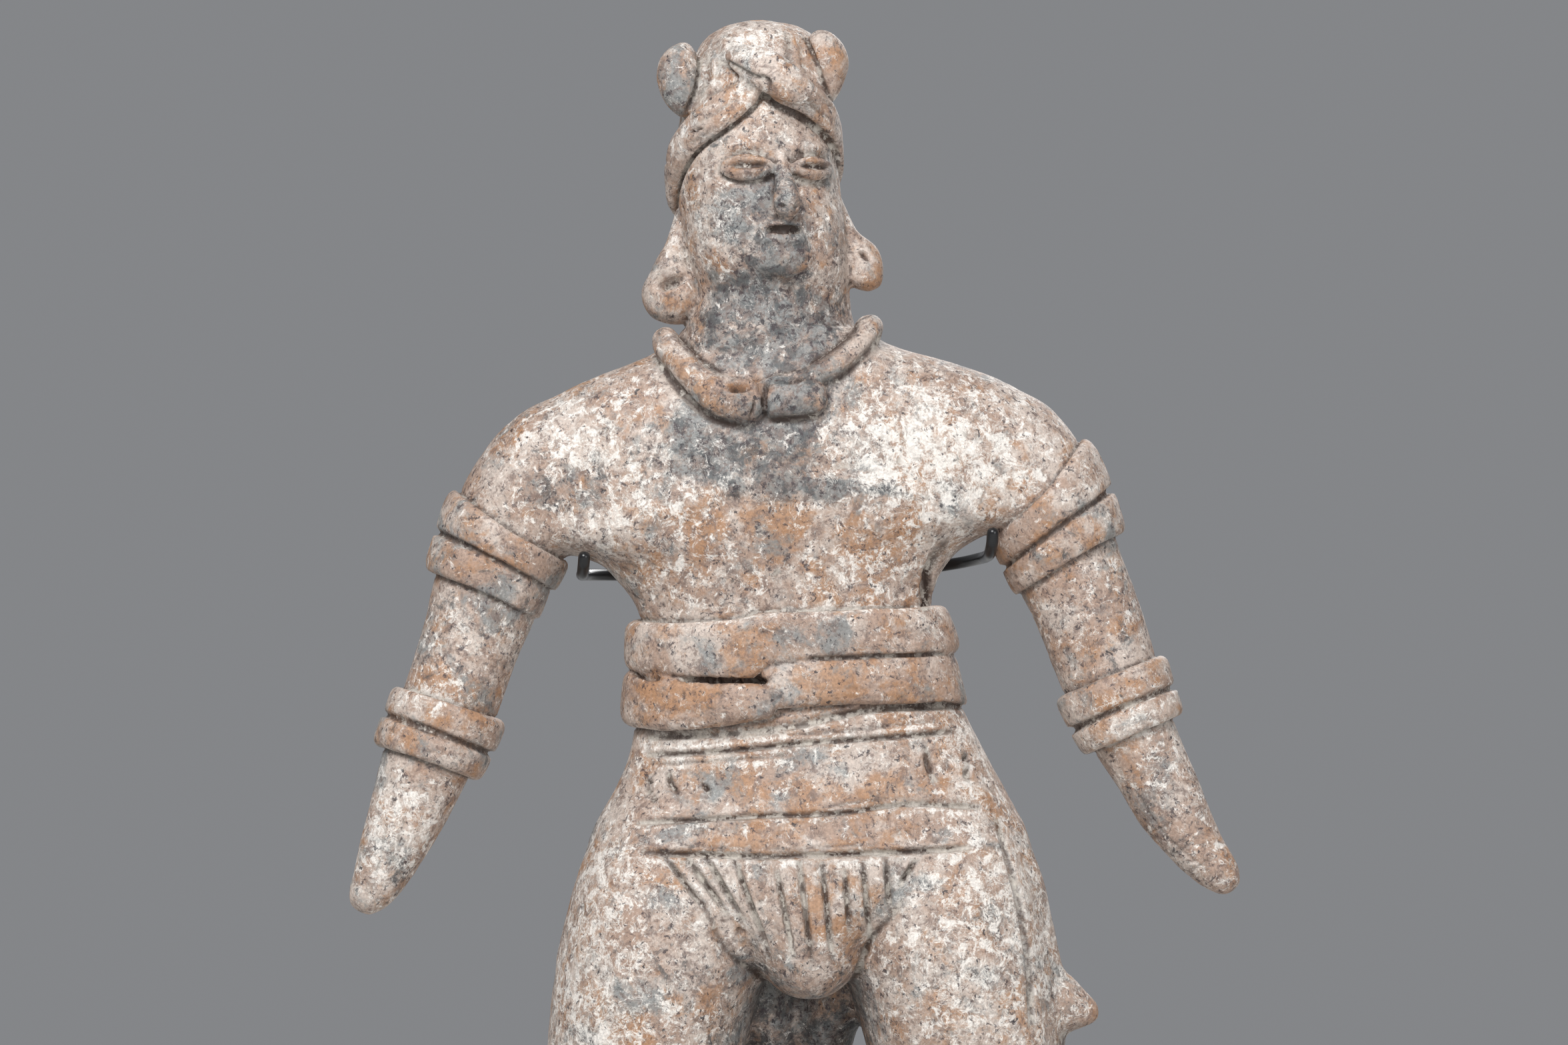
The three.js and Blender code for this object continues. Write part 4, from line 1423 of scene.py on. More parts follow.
@dataclass
class EarDrops:
    """A strap and a hollow ball below each ear."""

    left: Rows = (
        (-30.5, 3, 357, 1.8, 3),
        (-32, 1.4, 350, 2, 3.4),
        (-33.7, -0.5, 343.4, 2.7, 4.6),
        (-34.5, -1.8, 337.4, 5.1, 5.6),
        (-34.5, -2.6, 330.8, 7.9, 7.4),
        (-33.9, -3, 326, 6.6, 6.2),
        (-33.6, -3, 323.4, 3.6, 3.4),
        (-33.6, -3, 322.6, 1.6, 1.6),
    )
    right: Rows = (
        (9, 3, 359, 1.6, 3),
        (11.6, 1.4, 352, 2, 3.4),
        (13.6, 0, 346.4, 2.8, 4.2),
        (16.6, -1.4, 340.8, 5.3, 5.4),
        (17.4, -2, 336, 5.4, 5.6),
        (17, -2.2, 333.4, 4.6, 4.8),
        (16.6, -2.2, 331.6, 2, 2.2),
    )
    openings: Sequence[Opening] = (
        Opening((-34.3, -8.8, 333.6), (0.93, -0.1, 0.36), 4.4, 1.7, 3.2),
        Opening((17.4, -7.4, 341), (0.8, 0, -0.5), 2.3, 1, 2),
    )

    def model(self, clay: Clay) -> None:
        """Adds both drops."""
        for stations in (self.left, self.right):
            clay.add_form(TubeForm(stations), sides=24, step=0.8)

    def carve(self, skin: Skin) -> None:
        """Opens the balls."""
        for opening in self.openings:
            skin.slit(opening)

    def dress(self, skin: Skin) -> None:
        """Leaves the balls burnished and warm, with painted shade in the left ball's opening.

        Args:
            skin: the skin of the whole figure.
        """
        for centre in ((-34, -4, 329), (17, -3, 337)):
            skin.stain(Tint.BURNISH, centre, (10, 10, 9), 1)
            skin.stain(Tint.IRON, centre, (9, 9, 8), 0.55)
        # Painted shade in the left ball's opening.
        skin.stain(Tint.RECESS_SHADE, (-36, -6, 335), (3, 5, 3), 0.5)


HEAD_AXIS = Vector((-10.6, 0, 330))
HEAD_TURN = math.radians(16)
HEAD_NOD = math.radians(-4)
HEAD_PLACE = (
    Matrix.Translation(HEAD_AXIS)
    @ Matrix.Rotation(HEAD_TURN, 4, "Z")
    @ Matrix.Rotation(HEAD_NOD, 4, "X")
    @ Matrix.Translation(-HEAD_AXIS)
)


@dataclass(frozen=True)
class Lens:
    """A lens of clay on the face: half width, half height, depth, how far out, how much it bows."""

    wide: float
    high: float
    deep: float
    proud: float
    bow: float = 0


@dataclass
class Head:
    """Head and neck with a calm, plain face on even thirds, the same on both sides."""

    skull_rows: Rows = (
        (312, -34, 21, -17, 17, 2),
        (318, -32.5, 17.5, -18, 17.5, 2),
        (324.5, -30.4, 14.7, -18.4, 18, 2),
        (330, -28, 13.7, -19.6, 18.2, 2.1),
        (335, -28.6, 13, -22.3, 18.5, 2.2),
        (340, -30.4, 12.6, -23.8, 19, 2.2),
        (346, -31.4, 12.2, -24.2, 20, 2.2),
        (353, -32, 11.3, -24, 21, 2.2),
        (370, -32.3, 10.6, -22.6, 21.5, 2.2),
        (379, -31.4, 9.8, -21.4, 21, 2.2),
        (388, -29.4, 9, -19.6, 19.5, 2.2),
        (396, -27.2, 7.8, -16.6, 17.4, 2.2),
        (401.4, -23.4, 5, -12.6, 13.6, 2.1),
        (404.3, -18, -0.4, -7.4, 8.4, 2),
        (405.5, -12.6, -6, -2.5, 3.5, 2),
    )
    hairline: float = 381
    chin: float = 335
    width: float = 43
    clouds: Sequence[Spot] = (
        Spot(-6, 354, 8, 11, 1.1),
        Spot(-8, 342, 12, 7, 0.9),
        Spot(-18, 350, 6, 7, 0.5),
        Spot(-6, 328, 15, 12, 0.6),
        Spot(-22, 327, 9, 9, 0.3),
    )
    eye_pad: Lens = Lens(6.8, 3.9, 2.9, 0.2)
    lower_lip: Lens = Lens(6.2, 2.1, 2.2, 0.3, -0.6)
    upper_lip: Lens = Lens(5.4, 1.5, 1.7, 0.2, 0.5)
    brow: Lens = Lens(7.2, 1.7, 1.2, -0.3, -1.2)
    chin_bulge: Lens = Lens(10, 6.5, 4.6, -2.4, -1)
    nose_bridge: Rows = ((1, -0.6, 1.6), (-4, 0.8, 2.3), (-9, 2.4, 3.2))
    nose_tip: Rows = ((2.6, 3.6, 4), (0, 2.4, 3.6), (-1, 0.6, 2.2))

    def __post_init__(self) -> None:
        """Sets the levels of the face."""
        self.skull = LevelForm(self.skull_rows, HEAD_PLACE)
        self.third = (self.hairline - self.chin) / 3
        self.eye_level = self.hairline - 1.24 * self.third
        self.mouth_level = self.chin + 2 * self.third / 3
        self.eye_offset = self.width / 5

    def on_face(self, offset: float, level: float, proud: float) -> np.ndarray:
        """A point off the skin of the face.

        Args:
            offset: the distance from the middle line.
            level: the height before the head is turned.
            proud: how far out it lies.

        Returns:
            The point.
        """
        angle = self.skull.angle_at(level, HEAD_AXIS.x + offset)
        place = (np.array([level]), np.array([angle]))
        return (self.skull.point(*place) + proud * outward(self.skull, *place))[0]

    def outline(self, middle: float, level: float, lens: Lens) -> np.ndarray:
        """Points on the face round the edge of a lens of clay.

        Args:
            middle: its distance from the middle line.
            level: its height.
            lens: its sizes.

        Returns:
            The points.
        """
        turns = np.linspace(0, 2 * math.pi, 90)
        rim = [(middle + 0.98 * lens.wide * math.cos(t), level + lens.high * math.sin(t)) for t in turns]
        return np.array([self.on_face(offset, height, 0) for offset, height in rim])

    def add_lens(self, clay: Clay, middle: float, level: float, lens: Lens) -> None:
        """Presses a lens of clay on the face.

        Args:
            clay: the heap that it is added to.
            middle: its distance from the middle line.
            level: its height.
            lens: its sizes.
        """
        stations = []
        for t in np.linspace(-1, 1, 13):
            swell = max(math.sqrt(1 - t * t), 0.12)
            place = self.on_face(middle + t * lens.wide, level - lens.bow * (1 - t * t), lens.proud)
            stations.append([*place, lens.high * swell, lens.deep * swell])
        clay.add_form(TubeForm(stations), sides=24, step=0.6)

    def model(self, clay: Clay) -> None:
        """Adds skull, eyes, nose and lips.

        Args:
            clay: the heap that the forms are added to.
        """
        clay.add_form(self.skull, sides=96)
        for side in (-1, 1):
            self.add_lens(clay, side * self.eye_offset, self.eye_level, self.eye_pad)
            self.add_lens(clay, side * self.eye_offset, self.hairline - self.third + 1.4, self.brow)
        self.add_lens(clay, 0, self.chin + 0.47 * self.third, self.lower_lip)
        self.add_lens(clay, 0, self.mouth_level + 2, self.upper_lip)
        self.add_lens(clay, 0, self.chin + 2.4, self.chin_bulge)
        stations = []
        brow, base = self.hairline - self.third, self.chin + self.third
        for origin, rows in ((brow, self.nose_bridge), (base, self.nose_tip)):
            for rise, proud, half in rows:
                stations.append([*self.on_face(0, origin + rise, proud), half, 0.85 * half])
        clay.add_form(TubeForm(stations), sides=24, step=0.8)

    def carve(self, skin: Skin) -> None:
        """Cuts the slits of eyes and mouth.

        Args:
            skin: the skin of the whole figure.
        """
        turned = HEAD_PLACE.to_3x3()
        along = tuple(turned @ Vector((1, 0, 0)))
        look = tuple(turned @ Vector((0, 1, 0)))
        for side in (-1, 1):
            rim = self.outline(side * self.eye_offset, self.eye_level, self.eye_pad)
            skin.joint(rim, width=1.5, depth=0.8)
            centre = tuple(self.on_face(side * self.eye_offset, self.eye_level + 0.4, 2.6))
            skin.slit(Opening(centre, along, 0.62 * self.eye_offset, 1.3, 1.8, look=look))
        centre = tuple(self.on_face(0, self.mouth_level, 0.8))
        skin.slit(Opening(centre, along, 5, 1.1, 1.5, look=look))
        for side in (-1, 1):
            centre = tuple(self.on_face(side * 1.9, self.chin + self.third + 0.2, 4))
            skin.slit(Opening(centre, along, 1, 0.9, 0.8, rim=0.1, look=look))

    def dress(self, skin: Skin) -> None:
        """Lays the fire cloud over the lower face and painted shade in the eye and mouth slits.

        Args:
            skin: the skin of the whole figure.
        """
        # Painted shade in the eye and mouth slits.
        for side in (-1, 1):
            centre = self.on_face(side * self.eye_offset, self.eye_level + 0.4, 1)
            skin.stain(Tint.RECESS_SHADE, centre, (0.7 * self.eye_offset, 4, 1), 0.9)
        skin.stain(Tint.RECESS_SHADE, self.on_face(0, self.mouth_level, 0), (5, 4, 1), 0.9)
        for spot in self.clouds:
            skin.spot(Tint.SMOKE, spot)
        skin.spot(Tint.IRON, Spot(-28, 346, 7, 8, 0.5))


@dataclass
class Headdress:
    """The close cap with its bands, side lobes and forelock."""

    skull: Form
    left_band: Strip = field(
        default_factory=lambda: Strip(
            (
                (-276, 352.5, 363.5, 2),
                (-230, 352, 364, 2.6),
                (-195, 355.5, 366.5, 3.2),
                (-176, 362, 372.5, 3.8),
                (-154, 367.8, 378, 3.6),
                (-126, 373, 384, 3.5),
                (-108, 378, 388.5, 3.3),
                (-99, 382, 389.5, 2.6),
            )
        )
    )
    right_band: Strip = field(
        default_factory=lambda: Strip(
            (
                (-103, 384, 391.5, 2.2),
                (-92, 379.4, 391.4, 3.2),
                (-74, 376, 387.5, 3.2),
                (-58, 372.8, 384.4, 3.2),
                (-38, 368.6, 380.6, 2.4),
                (-14, 362, 375.6, 1.5),
                (30, 355.5, 368, 1.6),
                (94, 353, 364, 2),
            )
        )
    )
    left_lobe: Rows = (
        (-30.8, -5, 397.6, 1.6, 2.4),
        (-31.4, -5.6, 395.4, 4.2, 5),
        (-32.6, -6.4, 391, 5.9, 6),
        (-32.6, -6.8, 385.6, 5.3, 5.6),
        (-31.4, -6.8, 380.8, 3.4, 4),
        (-30.8, -6.6, 378.4, 1.4, 2),
    )
    right_lobe: Rows = (
        (4.4, -2, 400.6, 2.2, 3),
        (5.6, -3, 398.4, 4.4, 5),
        (7.2, -4, 394, 5.7, 6),
        (7.4, -4.6, 389.4, 5, 5.4),
        (7.8, -5, 384.8, 3, 3.6),
        (8, -5, 382.4, 1.3, 1.8),
    )
    forelock: Rows = (
        (-19.4, -14.6, 394.6, 1.4, 1.2),
        (-17.4, -16.4, 393.8, 3.4, 2.2),
        (-13.4, -18.8, 392, 5, 3),
        (-9, -20.8, 389.6, 5.8, 3.4),
        (-4.8, -21.8, 387, 5.6, 3.4),
        (-1, -21.8, 384.6, 4.8, 2.8),
        (2.6, -20.6, 382.4, 3.6, 1.8),
    )
    tuck: Points = ((-21.2, 392.7), (-17, 390.4), (-13.1, 388), (-8.8, 386.8), (-8, 383.6))
    wrinkles: Sequence[tuple[Points, float, float]] = (
        (((-25.6, 396), (-24.8, 390), (-26, 384)), 2.6, 0.6),
        (((-22.6, 398.6), (-21.4, 394), (-22.4, 388.6)), 2.2, 0.5),
        (((-19.4, 400), (-18.6, 397), (-19.2, 394.4)), 2, 0.4),
        (((-3.6, 400.4), (-2.8, 396), (-3.4, 390.8)), 2.4, 0.7),
        (((-0.4, 399.4), (0.6, 394), (1.8, 388.8)), 1.8, 0.4),
        (((-27.6, 382), (-21, 384.6), (-15.6, 387)), 1.4, 0.45),
        (((-28.6, 374.6), (-22, 378.4), (-15, 383.4)), 1.2, 0.35),
        (((-30, 370.2), (-27, 371.4), (-23.4, 374)), 1.1, 0.45),
        (((1.2, 383.6), (5, 379.4), (9.2, 376.4)), 1.2, 0.35),
        (((3, 386), (7, 382), (10.4, 379)), 1.3, 0.4),
    )
    lobe_edges: Sequence[tuple[Points, float, float]] = (
        (((-27.4, 397.4), (-27, 391), (-28.4, 384), (-30.8, 379)), 1.3, 1.1),
        (((1.4, 399.9), (4, 393.2), (6.6, 386), (8.6, 382.4)), 1.4, 1.3),
    )
    fold: Opening = Opening((-27.6, -20.5, 373.8), (1, 0, 0.28), 2.2, 0.5, 1.2, rim=0.2)

    def model(self, clay: Clay) -> None:
        """Adds bands, lobes and forelock.

        Args:
            clay: the heap that the forms are added to.
        """
        for strip in (self.left_band, self.right_band):
            clay.add_strip(self.skull, strip)
        for stations in (self.left_lobe, self.right_lobe, self.forelock):
            clay.add_form(TubeForm(stations), sides=24, step=0.8)

    def carve(self, skin: Skin) -> None:
        """Sharpens the bands and creases the cap.

        Args:
            skin: the skin of the whole figure.
        """
        for strip in (self.left_band, self.right_band):
            bottom, top = strip.edge_lines(self.skull)
            skin.joint(bottom, width=1.3, depth=1.3)
            skin.joint(top, width=1, depth=0.4)
        skin.groove(self.tuck, width=1.5, depth=1.3, lip=0.1)
        for line, width, depth in self.wrinkles:
            skin.groove(line, width, depth, lip=0.1, blunt=0.3)
        for line, width, depth in self.lobe_edges:
            skin.groove(line, width, depth, lip=0)
        skin.slit(self.fold)

    def dress(self, skin: Skin) -> None:
        """Leaves sediment and painted top light on the cap, burnish on the lobes and a fire cloud on the
        left lobe.

        Args:
            skin: the skin of the whole figure.
        """
        for row in (self.left_lobe[2], self.right_lobe[2]):
            skin.stain(Tint.BURNISH, row[:3], (8, 8, 9), 0.7)
        skin.stain(Tint.DEPOSIT_AND_LIGHT, (-12.6, -15, 396.4), (8, 8, 4.6), 1)
        # Pale deposit over the top of the cap, which also paints the light falling on it.
        skin.stain(Tint.DEPOSIT_AND_LIGHT, (-14, 0, 396), (22, 30, 12), 0.35)
        skin.stain(Tint.DEPOSIT_AND_LIGHT, (-32, -6, 388), (7, 10, 10), 0.5)
        skin.spot(Tint.DEPOSIT_AND_LIGHT, Spot(-18, 388, 9, 5, 0.3))
        skin.spot(Tint.IRON, Spot(-8, 391, 6, 4, 0.5))
        skin.spot(Tint.IRON, Spot(4, 380, 7, 5, 0.3))
        skin.spot(Tint.IRON, Spot(-22, 379, 9, 5, 0.3))
        skin.stain(Tint.SMOKE, (-32, -10, 388), (5, 8, 9), 0.45)


def rgb(colour: str) -> tuple[float, float, float, float]:
    """A colour from its hex name, as the linear values that a shader takes.

    Args:
        colour: a hash and six hex digits.

    Returns:
        Red, green, blue and alpha.
    """
    parts = [int(colour[i : i + 2], 16) / 255 for i in (1, 3, 5)]
    linear = [c / 12.92 if c <= 0.04045 else ((c + 0.055) / 1.055) ** 2.4 for c in parts]
    return (*linear, 1.0)


class Graph:
    """The node graph of one material."""

    def __init__(self, name: str) -> None:
        """Makes an empty material.

        Args:
            name: the material's name.
        """
        self.material = bpy.data.materials.new(name)
        self.material.use_nodes = True
        self.material.node_tree.nodes.clear()

    def add(
        self, kind: str, values: dict | None = None, out: int | str = 0, **settings: object
    ) -> Socket | bpy.types.Node:
        """Adds a node.

        Args:
            kind: the node's type without its prefix.
            values: for each input, a number, a colour or the socket that feeds it.
            out: which output is wanted.
            settings: properties of the node.

        Returns:
            The output socket, or the node itself where it has none.
        """
        node = self.material.node_tree.nodes.new("ShaderNode" + kind)
        for name, value in settings.items():
            setattr(node, name, value)
        for name, value in (values or {}).items():
            if isinstance(value, Socket):
                self.material.node_tree.links.new(value, node.inputs[name])
            else:
                node.inputs[name].default_value = value
        return node.outputs[out] if len(node.outputs) else node


@dataclass(frozen=True)
class Mottle:
    """A patchy pattern: the width of its patches in millimetres and where its noise is cut off."""

    size: float
    low: float
    high: float
    detail: float = 3
    roughness: float = 0.55
    distortion: float = 0
    shift: float = 0
    most: float = 1
    pulls: Sequence[tuple[Tint, float]] = ()


@dataclass(frozen=True)
class Layer:
    """A colour laid over the clay where a pattern is."""

    colour: str
    mottle: Mottle


EARTH = ((Tint.DEPOSIT_AND_LIGHT, -0.03), (Tint.SMOKE, 0.03), (Tint.BURNISH, -0.015))
CRUST = ((Tint.DEPOSIT_AND_LIGHT, 0.09), (Tint.SMOKE, -0.05), (Tint.BURNISH, -0.06), (Tint.IRON, -0.03))


@dataclass(frozen=True)
class FiredClay:
    """Burnished low-fired earthenware, long buried.

    Buff clay with iron stains and fire clouds, root marks, manganese specks and lime from the ground. The
    eye gets a dry, mottled skin that shines only where the burnish lasts. Clouds and stains are 11 to 18 mm
    wide, flakes of lime and slip 3 to 5 mm and manganese specks 2 mm. The sand in the clay is under 0.3 mm
    and would not show, so its grain is drawn at 0.7 mm. Creases, grooves, slits and undersides get painted
    shade in dark brown, with pale sediment in patches.
    """

    buff: str = "#aa9181"
    layers: Sequence[Layer] = (
        Layer("#ccbfb5", Mottle(18, 0.43, 0.59, 6, 0.7, 0.3, 3, 0.85)),
        Layer("#a97d58", Mottle(11, 0.495, 0.64, 6, 0.72, 0.3, 11, 0.8, ((Tint.IRON, 0.12),))),
        Layer("#7e8789", Mottle(14, 0.52, 0.66, 6, 0.72, 0.3, 19, 0.75, ((Tint.SMOKE, 0.14),))),
        Layer("#75625a", Mottle(3, 0.49, 0.6, 7, 0.78, 0.5, 29, 0.72, EARTH)),
        Layer("#454a4d", Mottle(5, 0.57, 0.69, 7, 0.75, 0.4, 41, 0.75, ((Tint.SMOKE, 0.11),))),
        Layer("#efe9e2", Mottle(3.4, 0.51, 0.61, 7, 0.8, 0.5, 47, 0.87, CRUST)),
        Layer("#40363a", Mottle(1.9, 0.555, 0.62, 6, 0.76, 0.4, 37, 0.85, EARTH)),
        Layer("#2e2b31", Mottle(2, 0.65, 0.69, 3, 0.6, 0.3, 43, 0.85)),
    )
    roots: Mottle = Mottle(2.4, 0.002, 0.04, 3, 0.6, 0.8, 53, 0.5, ((Tint.DEPOSIT_AND_LIGHT, -0.02),))
    breaks: Mottle = Mottle(6, 0.48, 0.58, 6, 0.75, 0, 71, 1, CRUST)
    lime: str = "#eae5de"
    # Colour of the painted shade in creases, grooves, slits and undersides.
    recess_shade: str = "#43342d"
    sediment: str = "#ddd6cb"
    fill: Mottle = Mottle(4.5, 0.49, 0.58, 5, 0.7, 0, 91, 0.8, ((Tint.DEPOSIT_AND_LIGHT, 0.05), (Tint.SMOKE, -0.1)))
    grain: Mottle = Mottle(0.7, 0.3, 0.7, 3, 0.6, 0, 83)
    # Strength of the painted shade in the creases.
    painted_crease_shade: float = 0.85
    crevice_pale: float = 0.7
    shade: tuple[float, float] = (0.8, 1.12)
    gloss: tuple[float, float] = (0.62, 0.9)
    grain_height: float = 0.35
    relief: float = 0.12

    def patches(self, graph: Graph, place: Socket, mottle: Mottle, winding: bool = False) -> Socket:
        """The strength of a pattern, which is greater where its stain lies.

        Args:
            graph: the material's nodes.
            place: the place on the figure in millimetres.
            mottle: the pattern.
            winding: whether it shows as thin winding lines and not as patches.

        Returns:
            The socket, from 0 to the pattern's most.
        """
        moved = graph.add("VectorMath", {0: place, 1: (mottle.shift,) * 3}, operation="ADD")
        value = graph.add(
            "TexNoise",
            {
                "Vector": moved,
                "Scale": 1 / mottle.size,
                "Detail": mottle.detail,
                "Roughness": mottle.roughness,
                "Distortion": mottle.distortion,
            },
        )
        below, above = 0.0, mottle.most
        if winding:
            centred = graph.add("Math", {0: value, 1: 0.5}, operation="SUBTRACT")
            value = graph.add("Math", {0: centred}, operation="ABSOLUTE")
            below, above = above, below
        for tint, pull in mottle.pulls:
            stain = graph.add("Attribute", out="Fac", attribute_name=tint.value)
            value = graph.add("Math", {0: stain, 1: pull, 2: value}, operation="MULTIPLY_ADD")
        limits = {"From Min": mottle.low, "From Max": mottle.high, "To Min": below, "To Max": above}
        return graph.add("MapRange", {"Value": value, **limits}, interpolation_type="SMOOTHSTEP")

    def material(self) -> bpy.types.Material:
        """Builds the material.

        Returns:
            The material.
        """
        graph = Graph("fired_clay")
        inside = graph.add("TexCoord", out="Object")
        place = graph.add("VectorMath", {0: inside, "Scale": 1 / MM}, operation="SCALE")
        # The recess mark is painted shade in grooves, slits and undersides; sediment is laid over part of
        # it.
        recess_shade = graph.add("Attribute", out="Fac", attribute_name=Tint.RECESS_SHADE.value)
        crevice = graph.add("Attribute", out="Fac", attribute_name=Tint.CREVICE.value)
        breaks = self.patches(graph, place, self.breaks)
        roots = self.patches(graph, place, self.roots, winding=True)
        white = graph.add("Math", {0: roots, 1: breaks}, operation="MULTIPLY")
        # Painted shade darkens the creases; pale sediment lies in them where the crust breaks.
        dark = graph.add("Math", {0: crevice, 1: self.painted_crease_shade}, operation="MULTIPLY")
        pale = graph.add("Math", {0: crevice, 1: breaks}, operation="MULTIPLY")
        pale = graph.add("Math", {0: pale, 1: self.crevice_pale}, operation="MULTIPLY")
        fill = self.patches(graph, place, self.fill)
        fill = graph.add("Math", {0: recess_shade, 1: fill}, operation="MULTIPLY")
        coats = [(self.patches(graph, place, layer.mottle), layer.colour) for layer in self.layers]
        coats += [(white, self.lime), (dark, self.recess_shade), (pale, self.sediment)]
        coats += [(recess_shade, self.recess_shade), (fill, self.sediment)]
        colour = rgb(self.buff)
        for share, coat in coats:
            colour = graph.add("Mix", {0: share, 6: colour, 7: rgb(coat)}, out=2, data_type="RGBA")
        grain = self.patches(graph, place, self.grain)
        shade = graph.add("MapRange", {"Value": grain, "To Min": self.shade[0], "To Max": self.shade[1]})
        colour = graph.add("VectorMath", {0: colour, "Scale": shade}, operation="SCALE")
        rough = graph.add("MapRange", {"Value": white, "To Min": self.gloss[0], "To Max": self.gloss[1]})
        height = graph.add("Math", {0: grain, 1: self.grain_height, 2: white}, operation="MULTIPLY_ADD")
        bump = graph.add("Bump", {"Strength": 0.5, "Distance": self.relief * MM, "Height": height})
        shader = graph.add("BsdfPrincipled", {"Base Color": colour, "Roughness": rough, "Normal": bump})
        graph.add("OutputMaterial", {"Surface": shader})
        return graph.material


@dataclass(frozen=True)
class BlackSteel:
    """Satin black paint on steel wire and plate, which gives the eye dark, even shapes with soft lights."""

    black: str = "#18181a"
    gloss: float = 0.28

    def material(self) -> bpy.types.Material:
        """Builds the material.

        Returns:
            The material.
        """
        graph = Graph("black_steel")
        shader = graph.add("BsdfPrincipled", {"Base Color": rgb(self.black), "Roughness": self.gloss})
        graph.add("OutputMaterial", {"Surface": shader})
        return graph.material


@dataclass
class Figure:
    """The whole clay figure as one skin."""

    voxel: float = 0.62
    triangles: int = 195000
    swells: Sequence[tuple[float, float]] = ((26, 0.5), (9, 0.22), (4, 0.12))
    pits: Sequence[tuple[float, float]] = ((1.5, 0.3), (2.6, 0.4))

    def parts(self) -> list[SubAssembly]:
        """The parts of the clay figure, in the order in which they are pressed on.

        Returns:
            The parts.
        """
        body = Body()
        head = Head()
        dress = [Belts(trunk=body.trunk), Skirt(), Armbands(body), Necklace()]
        return [body, HipOrnament(), *dress, EarDrops(), head, Headdress(head.skull)]

    def build(self) -> bpy.types.Object:
        """Models, fuses, carves and stains the clay.

        Returns:
            The object, in metres.
        """
        parts = self.parts()
        clay = Clay()
        for part in parts[:2]:
            part.model(clay)
        clay.add_mesh(clay.fused(1.4, 10))
        for part in parts[2:]:
            part.model(clay)
        mesh = clay.fused(self.voxel, 1)
        skin = Skin(mesh)
        log.info("fused skin: %d vertices", len(skin.co))
        skin.sharpen(6, 0.5)
        skin.press()
        for part in parts:
            part.carve(skin)
        self.weather(skin)
        skin.press()
        marks = skin.marks
        piece = bpy.data.objects.new("figure_clay", mesh)
        bpy.context.collection.objects.link(piece)
        self.lighten(piece)
        skin = Skin(piece.data)
        hollow = skin.hollow(5)
        # Painted shade and pale sediment in the creases, by how deep each lies.
        skin.tints[Tint.CREVICE] += smooth_step(0.04, 0.4, hollow)
        # Painted shade in the bottoms of grooves and joints.
        skin.recess_shade(marks)
        skin.tints[Tint.BURNISH] += smooth_step(0.05, 0.35, -hollow)
        for part in parts:
            part.dress(skin)
        skin.store()
        piece.data.name = "figure_clay"
        piece.data.transform(Matrix.Scale(MM, 4))
        piece.data.polygons.foreach_set("use_smooth", [True] * len(piece.data.polygons))
        piece.data.materials.append(FiredClay().material())
        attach(piece, "root")
        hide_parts("figure")
        return piece

    def weather(self, skin: Skin) -> None:
        """Makes the skin uneven by hand, and pits it.

        Args:
            skin: the skin of the whole figure.
        """
        for i, (size, height) in enumerate(self.swells):
            skin.rise += height * Noise(size, 10 + i).at(skin.co)
        zones = smooth_step(-0.1, 0.5, Noise(14, 20).at(skin.co))
        for i, (size, depth) in enumerate(self.pits):
            skin.rise -= depth * zones * smooth_step(0.5, 0.85, Noise(size, 30 + i).at(skin.co))

    def lighten(self, piece: bpy.types.Object) -> None:
        """Thins the mesh to the triangles it may have, most where the skin is plain.

        Args:
            piece: the clay figure.
        """
        mesh = piece.data
        count = sum(len(face.vertices) - 2 for face in mesh.polygons)
        if count > self.triangles:
            reduce = piece.modifiers.new("reduce", "DECIMATE")
            reduce.ratio = self.triangles / count
            piece.data = evaluated_mesh(piece)
            piece.modifiers.clear()
            bpy.data.meshes.remove(mesh)


